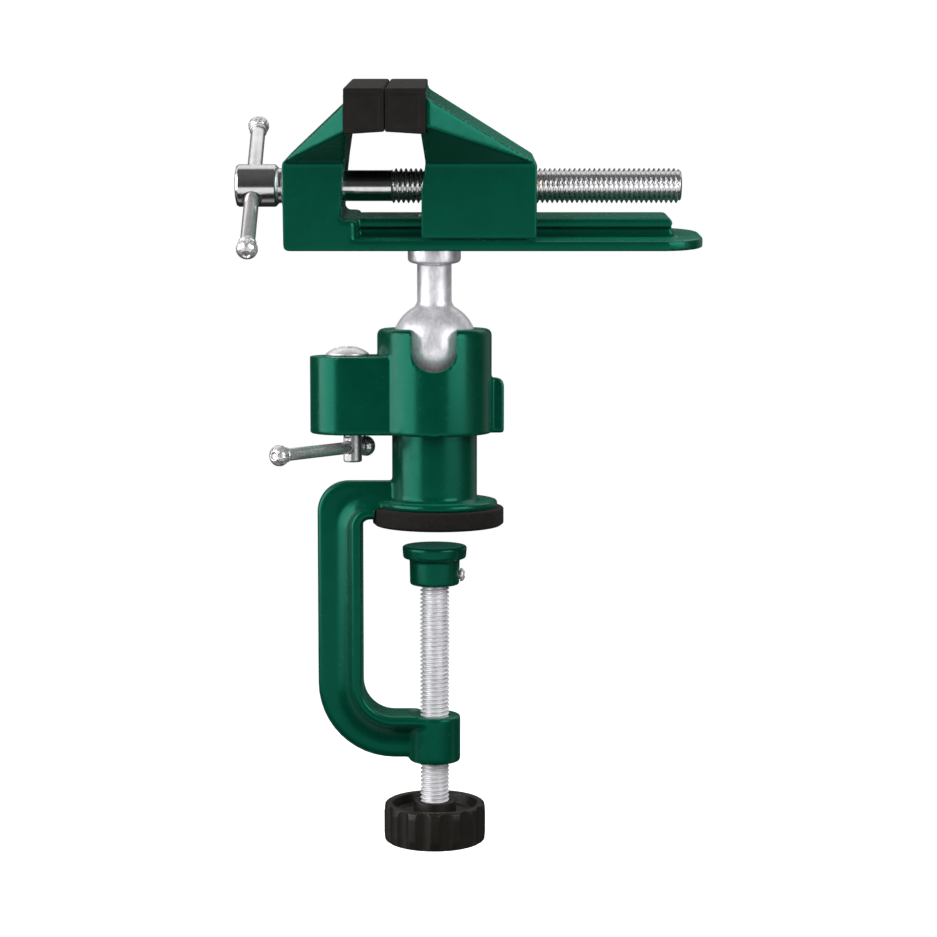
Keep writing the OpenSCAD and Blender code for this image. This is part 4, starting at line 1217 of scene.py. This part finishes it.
class VISE_OT_jaw_screw(bpy.types.Operator):
    """Make the jaw screw with its hub, shank and thread"""

    bl_idname = "vise.jaw_screw"
    bl_label = "Jaw Screw"

    def execute(self, context):
        threads = context.scene.vise_threads
        hub_x, hub_end, journal_end, thread_x, tip_x = -80.0, -62.6, -38.55, -17.3, 99.4
        hub_r, journal_r, shank_r, chamfer, hole_r, rim_r = 8.5, 7.0, 6.2, 1.3, 3.05, 4.6
        groove_x, groove_end, groove_r = -40.95, -39.65, 6.0
        plain = lathed(
            [(0, hub_x, 0), (hub_r - 2.4, hub_x, 0.4), (hub_r - chamfer * 0.5, hub_x + 0.4, 0.5),
             (hub_r, hub_x + chamfer, 0.8), (hub_r, hub_end - chamfer, 0.8), (hub_r - chamfer, hub_end, 0.4),
             (journal_r, hub_end, 0.2), (journal_r, groove_x, 0.1), (groove_r, groove_x, 0),
             (groove_r, groove_end, 0), (journal_r, groove_end, 0.1), (journal_r, journal_end, 0.4),
             (shank_r, journal_end + 0.6, 0.4), (shank_r, thread_x + 0.4, 0), (0, thread_x + 0.4, 0)],
            4, 112,
        )
        across = (
            Matrix.Translation((0, 0, HANDLE_X)) @ ALONG_X.inverted() @ Matrix.Rotation(HANDLE_TURN, 4, "X")
        )
        sink, sink_top = 7.1, 9.1
        countersink = turned([(0, sink), (hole_r, sink), (rim_r, sink_top), (0, sink_top)], 64)
        plain = machined(
            plain,
            cut(placed(rod(hole_r, -20, 20, steps=64), across)),
            cut(placed(countersink, across)),
            cut(placed(countersink, across @ Matrix.Rotation(math.pi, 4, "X"))),
        )
        thread = threaded_bar(
            threads, finish("nickel_thread"), thread_x * MM, (tip_x - thread_x) * MM, threads.jaw_pitch,
            threads.jaw_radius, depth=threads.jaw_pitch * 0.6, start_radius=shank_r * MM, chamfer=1.4 * MM,
        )
        plain_faces = len(plain.polygons)
        screw = piece_of(
            merged(plain, thread), "jaw_screw", "jaw_screw", ["main_screw"],
            finish("nickel_along_x"), HEAD @ Matrix.Translation((0, 0, SCREW_Z)) @ ALONG_X, 40,
        )
        screw.data.materials.append(finish("nickel_thread"))
        for face in screw.data.polygons:
            face.material_index = int(face.index >= plain_faces)
        return {"FINISHED"}


def mouth_depth(knob_r, bar_r):
    """How far the mouth of an end knob lies from its centre."""
    collar = 0.9
    return math.sqrt(knob_r**2 - bar_r**2) + collar


def sliding_bar(bar_r, spigot_r, low, high, knob_r):
    """Mesh of a bar along +Z between the centres of two end knobs, with a spigot in each."""
    step = mouth_depth(knob_r, bar_r)
    return mesh_of(
        lathed(
            [(0, low - 1.0, 0), (spigot_r, low - 1.0, 0.2), (spigot_r, low + step, 0),
             (bar_r, low + step, 0.3), (bar_r, high - step, 0.3), (spigot_r, high - step, 0),
             (spigot_r, high + 1.0, 0.2), (0, high + 1.0, 0)], 4, 96,
        )
    )


def end_knob(knob_r, bar_r, spigot_r, material):
    """Mesh of an end knob about its centre, for a bar from below: collar, crimped head and dimple."""
    crimps, crimp_r, crimp_depth = 12, 0.9, 0.34
    mouth = -mouth_depth(knob_r, bar_r)
    collar_r, waist_r, flatness = bar_r + 0.55, bar_r + 0.3, 0.84
    start, end = math.radians(-38), math.radians(58)
    top = knob_r * math.sin(end) * flatness
    head = [(r, z * flatness, 0) for r, z in arc((0, 0), knob_r, start, end - start, 18)]
    body = lathed(
        [(0, 1.2, 0), (spigot_r + 0.05, 1.2, 0), (spigot_r + 0.05, mouth, 0.1), (collar_r, mouth, 0.35),
         (collar_r, mouth + 1.3, 0.35), (waist_r, mouth + 1.6, 0.3), *head, (knob_r * 0.42, top + 0.3, 0.3),
         (knob_r * 0.26, top - 0.35, 0.3), (0, top - 0.5, 0)], 4, 144,
    )
    return fluted(mesh_of(body), material, crimps, knob_r * MM, crimp_r * MM, crimp_depth * MM)


def knobbed_bar(name, body, node, material, place, radii, ends):
    """Makes a sliding bar along +Z and its end knobs (name, node, distance), the upper one first."""
    bar_r, spigot_r, knob_r = radii
    crimped_plate = finish("nickel_crimped")
    bar = sliding_bar(bar_r, spigot_r, -ends[1][2], ends[0][2], knob_r)
    piece_of(bar, name, body, [node], material, place)
    for (knob_name, knob_node, distance), turn in zip(ends, (0, math.pi)):
        seat = place @ Matrix.Rotation(turn, 4, "X") @ Matrix.Translation((0, 0, distance))
        knob = end_knob(knob_r, bar_r, spigot_r, crimped_plate)
        piece_of(knob, knob_name, body, [knob_node], crimped_plate, seat)


class VISE_OT_handle(bpy.types.Operator):
    """Make the sliding T handle with its end knobs"""

    bl_idname = "vise.handle"
    bl_label = "T Handle"

    def execute(self, context):
        half, bar_r, spigot_r, knob_r = 38.5, 3.0, 1.5, 4.35
        knobbed_bar(
            "handle_rod", "handle", "handle_bar", finish("nickel_handle"), ALONG_HANDLE,
            (bar_r, spigot_r, knob_r),
            [("handle_end_front", "handle_knob_front", half), ("handle_end_back", "handle_knob_back", half)],
        )
        return {"FINISHED"}


class VISE_OT_lock(bpy.types.Operator):
    """Make the lock shaft with its domed screw, and the lever through its eye"""

    bl_idname = "vise.lock"
    bl_label = "Lock Shaft and Lever"

    bar_r = 2.5

    def shaft(self):
        eye_r, eye_foot, flat_half, flat_top = 3.8, 26.0, 3.35, 4.4
        foot_r, foot, foot_top, lobe_r, lobe_top, journal_r, top = 7.0, 38.1, 43.9, 4.8, 61.9, 5.0, 69.6
        screw_bore, screw_bore_foot = 2.55, 62.9
        across = Matrix.Translation((THROW, 0, LEVER_Z)) @ Matrix.Rotation(LEVER_TURN, 4, "Z")
        flats = [
            cut(placed(block(span, (-9, 9), (eye_foot - LEVER_Z - 1, flat_top)), across))
            for span in ((flat_half, 9), (-9, -flat_half))
        ]
        mesh = machined(
            shifted(rod(eye_r, eye_foot, foot + 1, 0.7, 64), THROW),
            join(rod(foot_r, foot, foot_top, 0.4, 96)),
            join(shifted(rod(lobe_r, foot_top - 1, lobe_top + 1, 0.2, 72), THROW)),
            join(rod(journal_r, lobe_top, top, 0.4, 72)),
            *flats,
            cut(placed(rod(self.bar_r + 0.05, -20, 20, steps=64), across @ ALONG_X)),
            cut(rod(screw_bore, screw_bore_foot, top + 5, steps=48)),
        )
        piece_of(
            cast(mesh, 0.28 * MM, 2), "lock_shaft_turned", "lock", ["lock_shaft"],
            finish("dark_zinc_shaft"), Matrix.Translation((LUG_X, 0, 0)),
        )

    def domed_screw(self):
        seat, dome_r, dome_h, rim_h, shank_r, tip = 69.8, 8.8, 4.0, 0.9, 2.5, 63.1
        rise = dome_h - rim_h
        bulge = (dome_r**2 + rise**2) / (2 * rise)
        radii = [dome_r * i / 16 for i in range(16, -1, -1)]
        crown = [(r, dome_h - bulge + math.sqrt(bulge**2 - r**2)) for r in radii]
        dome = turned([(0, 0), (dome_r - 0.3, 0), (dome_r, 0.3)] + crown, 96)
        half_len, half_wide, depth = 4.5, 1.0, 1.6
        slot = block((-half_len, half_len), (-half_wide, half_wide), (dome_h - depth, dome_h + 1))
        slots = [cut(placed(slot, Matrix.Rotation(math.radians(turn), 4, "Z"))) for turn in (20, 110)]
        head = cast(machined(dome, *slots), 0.22 * MM, 3)
        piece_of(
            merged(head, rod(shank_r, tip - seat, 0.2, 0.3, 48)), "domed_shaft_screw", "lock",
            ["lock_shaft_screw"], finish("nickel_screw_head"),
            Matrix.Translation((LUG_X, 0, seat)),
        )

    def execute(self, context):
        self.shaft()
        self.domed_screw()
        far, near, spigot_r, knob_r = 45.8, 8.45, 1.25, 4.25
        knobbed_bar(
            "lever_rod", "lever", "lever_bar", finish("nickel_lever"), ALONG_LEVER,
            (self.bar_r, spigot_r, knob_r),
            [("lever_end_far", "lever_knob_far", far), ("lever_end_near", "lever_knob_near", near)],
        )
        return {"FINISHED"}


class VISE_OT_inner_parts(bpy.types.Operator):
    """Give the parts inside the castings their finishes"""

    bl_idname = "vise.inner_parts"
    bl_label = "Inner Parts"

    def execute(self, context):
        finishes = {
            "turned_brass": ("ball_seat", "lead_nut"),
            "zinc_small_parts": ("stud_bolt", "thrust_washer"),
            "dark_zinc_shaft": ("retaining_ring", "lock_shoe"),
        }
        for name, nodes in finishes.items():
            for node in nodes:
                part = frame["nodes"][node]
                part.data.materials.clear()
                part.data.materials.append(finish(name))
        return {"FINISHED"}


class VISE_OT_studio(bpy.types.Operator):
    """Set the pale floor, the white background, the soft lights and the camera"""

    bl_idname = "vise.studio"
    bl_label = "Studio"

    target = Vector((14, 0, 23.2)) * MM
    distance, pitch, stand_x, sensor = 0.891, math.radians(5.8), 7 * MM, 36
    # Name, place, size and aim of each lamp. Its power is the setting of that name
    lamps = (
        ("key_light", (-1.1, -0.49, 0.35), (1.4, 1.3), target),
        ("side_light", (0.44, -0.42, 0.245), (0.4, 0.45), Vector((0, 0, 0.245))),
        ("back_light", (0.85, 0.75, 0.3), (0.7, 1.2), target),
    )

    def lamp(self, name, place, size, aim, power):
        """Soft rectangular light that looks at a point."""
        data = bpy.data.lights.new(name, "AREA")
        data.shape, data.size, data.size_y, data.energy = "RECTANGLE", *size, power
        lamp = linked(name, data)
        lamp.location = place
        lamp.rotation_euler = (aim - Vector(place)).to_track_quat("-Z", "Y").to_euler()
        lamp.visible_camera = False

    def floor_material(self, look):
        """White with a soft shadow to the camera. In the metal, dark but for strips in front and below."""
        shadow_reach, strip_far, strip_near = (0.3, 0.75), (-1.65, -1.4), (-0.42, -0.32)
        under_reach, under_level, mirror_level = (0.03, 0.09), 0.3, 0.02
        material = bpy.data.materials.new("studio_floor")
        material.use_nodes = True
        sheet = Sheet(material.node_tree)
        maths, times, plus = sheet.maths, sheet.times, sheet.plus
        rays = sheet.add("ShaderNodeLightPath").outputs
        spot = sheet.add("ShaderNodeTexCoord").outputs["Object"]
        away = sheet.add("ShaderNodeVectorMath", {0: spot}, operation="LENGTH").outputs["Value"]
        along_y = sheet.add("ShaderNodeSeparateXYZ", {"Vector": spot}).outputs["Y"]
        near = sheet.span(away, *shadow_reach, 1.0, 0.0)
        past_far = sheet.span(along_y, *strip_far, 0.0, 1.0)
        strip = times(past_far, sheet.span(along_y, *strip_near, 1.0, 0.0))
        under = sheet.span(maths("ABSOLUTE", along_y), *under_reach, under_level, 0.0)
        mirrored = maths("MULTIPLY_ADD", strip, look.strip, plus(under, mirror_level))
        seen = sheet.minus(1.0, times(near, look.shadow))
        unseen = plus(times(rays["Is Glossy Ray"], mirrored), times(rays["Is Diffuse Ray"], look.bounce))
        level = plus(times(rays["Is Camera Ray"], seen), unseen)
        glow = sheet.add("ShaderNodeEmission", {"Color": (1, 1, 1, 1), "Strength": level})
        catch = times(times(rays["Is Camera Ray"], near), look.shadow * 1.9)
        grey = sheet.add("ShaderNodeCombineColor", {"Red": catch, "Green": catch, "Blue": catch})
        matt = sheet.add("ShaderNodeBsdfDiffuse", {"Color": grey.outputs["Color"]})
        both = sheet.add("ShaderNodeAddShader", {0: glow.outputs[0], 1: matt.outputs[0]})
        sheet.put(material.node_tree.nodes["Material Output"].inputs["Surface"], both.outputs[0])
        return material

    def floor(self, look):
        """Square floor, just under the clamp knob at its lowest."""
        half = 4.0
        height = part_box("clamp_knob")[0].z + JOINTS["pad_slide"]["range_m"][0] - 2 * MM
        corners = [(x * half, y * half, height) for x, y in ((-1, -1), (1, -1), (1, 1), (-1, 1))]
        mesh = bpy.data.meshes.new("floor")
        mesh.from_pydata(corners, [], [(0, 1, 2, 3)])
        mesh.materials.append(self.floor_material(look))
        floor = linked("floor", mesh)

    def world(self, look):
        """White to the camera, a fill that grows from side to top, and a band above the back in the metal."""
        band_rise, band_back, horizon_back = (0.38, 0.6), (0.12, 0.3), (0.0, 0.5)
        world = bpy.data.worlds.new("studio")
        bpy.context.scene.world = world
        world.use_nodes = True
        sheet = Sheet(world.node_tree)
        view = sheet.add("ShaderNodeTexCoord").outputs["Generated"]
        way = sheet.add("ShaderNodeSeparateXYZ", {"Vector": view}).outputs
        band = sheet.times(
            sheet.span(way["Z"], *band_rise, 0.0, 1.0), sheet.span(way["Y"], *band_back, 0.0, 1.0)
        )
        horizon = sheet.span(way["Y"], *horizon_back, look.dark, look.horizon)
        mirrored = sheet.maths("MULTIPLY_ADD", band, look.band, horizon)
        rays = sheet.add("ShaderNodeLightPath").outputs
        glossy = sheet.maths("MAXIMUM", rays["Is Glossy Ray"], rays["Is Transmission Ray"])
        fill = sheet.span(way["Z"], 0.0, 1.0, look.fill, look.overhead)
        indirect = sheet.add("ShaderNodeMix", {0: glossy, 2: fill, 3: mirrored}, data_type="FLOAT")
        level = sheet.maths("MAXIMUM", rays["Is Camera Ray"], indirect.outputs[0])
        background = world.node_tree.nodes["Background"]
        background.inputs["Color"].default_value = (1, 1, 1, 1)
        sheet.put(background.inputs["Strength"], level)

    def camera(self, scene, lens):
        """Camera that looks down on the target, with a lens shift for where it stands along X."""
        data = bpy.data.cameras.new("camera")
        data.lens, data.sensor_width, data.clip_start, data.clip_end = lens, self.sensor, 0.01, 50
        data.shift_x = (self.target.x - self.stand_x) * lens / (self.distance * self.sensor)
        camera = linked("camera", data)
        back = Vector((0, -math.cos(self.pitch), math.sin(self.pitch)))
        camera.location = self.target + self.distance * back
        camera.location.x = self.stand_x
        camera.rotation_euler = (math.pi / 2 - self.pitch, 0, 0)
        scene.camera = camera

    def execute(self, context):
        look = context.scene.vise_studio
        context.scene.view_settings.view_transform = "Standard"
        self.camera(context.scene, look.lens)
        for name, place, size, aim in self.lamps:
            self.lamp(name, place, size, aim, getattr(look, name))
        self.floor(look)
        self.world(look)
        return {"FINISHED"}


class VISE_PT_pieces(bpy.types.Panel):
    """Buttons for the pieces, and the values that shape them"""

    bl_idname = "VISE_PT_pieces"
    bl_label = "Bench Vise"
    bl_space_type = "VIEW_3D"
    bl_region_type = "UI"
    bl_category = "Bench Vise"

    def draw(self, context):
        for maker in MAKERS:
            self.layout.operator(maker.bl_idname)
        for label, name, group in GROUPS:
            box = self.layout.box()
            box.label(text=label)
            for key in group.__annotations__:
                box.prop(getattr(context.scene, name), key)


MAKERS = (
    VISE_OT_clamp_casting, VISE_OT_table_pads, VISE_OT_clamp_spindle, VISE_OT_socket_casting,
    VISE_OT_ball_stud, VISE_OT_fixed_jaw, VISE_OT_moving_jaw, VISE_OT_jaw_caps, VISE_OT_jaw_screw,
    VISE_OT_handle, VISE_OT_lock, VISE_OT_inner_parts, VISE_OT_studio,
)
GROUPS = (
    ("Castings", "vise_casting", CastingLook), ("Threads", "vise_threads", ScrewThreads),
    ("Knob", "vise_grip", KnobGrip), ("Colours", "vise_colours", FinishColours),
    ("Studio", "vise_studio", StudioLook),
)


def register():
    for _, name, group in GROUPS:
        bpy.utils.register_class(group)
        setattr(bpy.types.Scene, name, PointerProperty(type=group))
    for kind in (*MAKERS, VISE_PT_pieces):
        bpy.utils.register_class(kind)


def unregister():
    for kind in (VISE_PT_pieces, *MAKERS[::-1]):
        bpy.utils.unregister_class(kind)
    for _, name, group in GROUPS[::-1]:
        delattr(bpy.types.Scene, name)
        bpy.utils.unregister_class(group)


def main():
    register()
    for maker in MAKERS:
        group, name = maker.bl_idname.split(".")
        getattr(getattr(bpy.ops, group), name)()


if __name__ == "__main__":
    main()
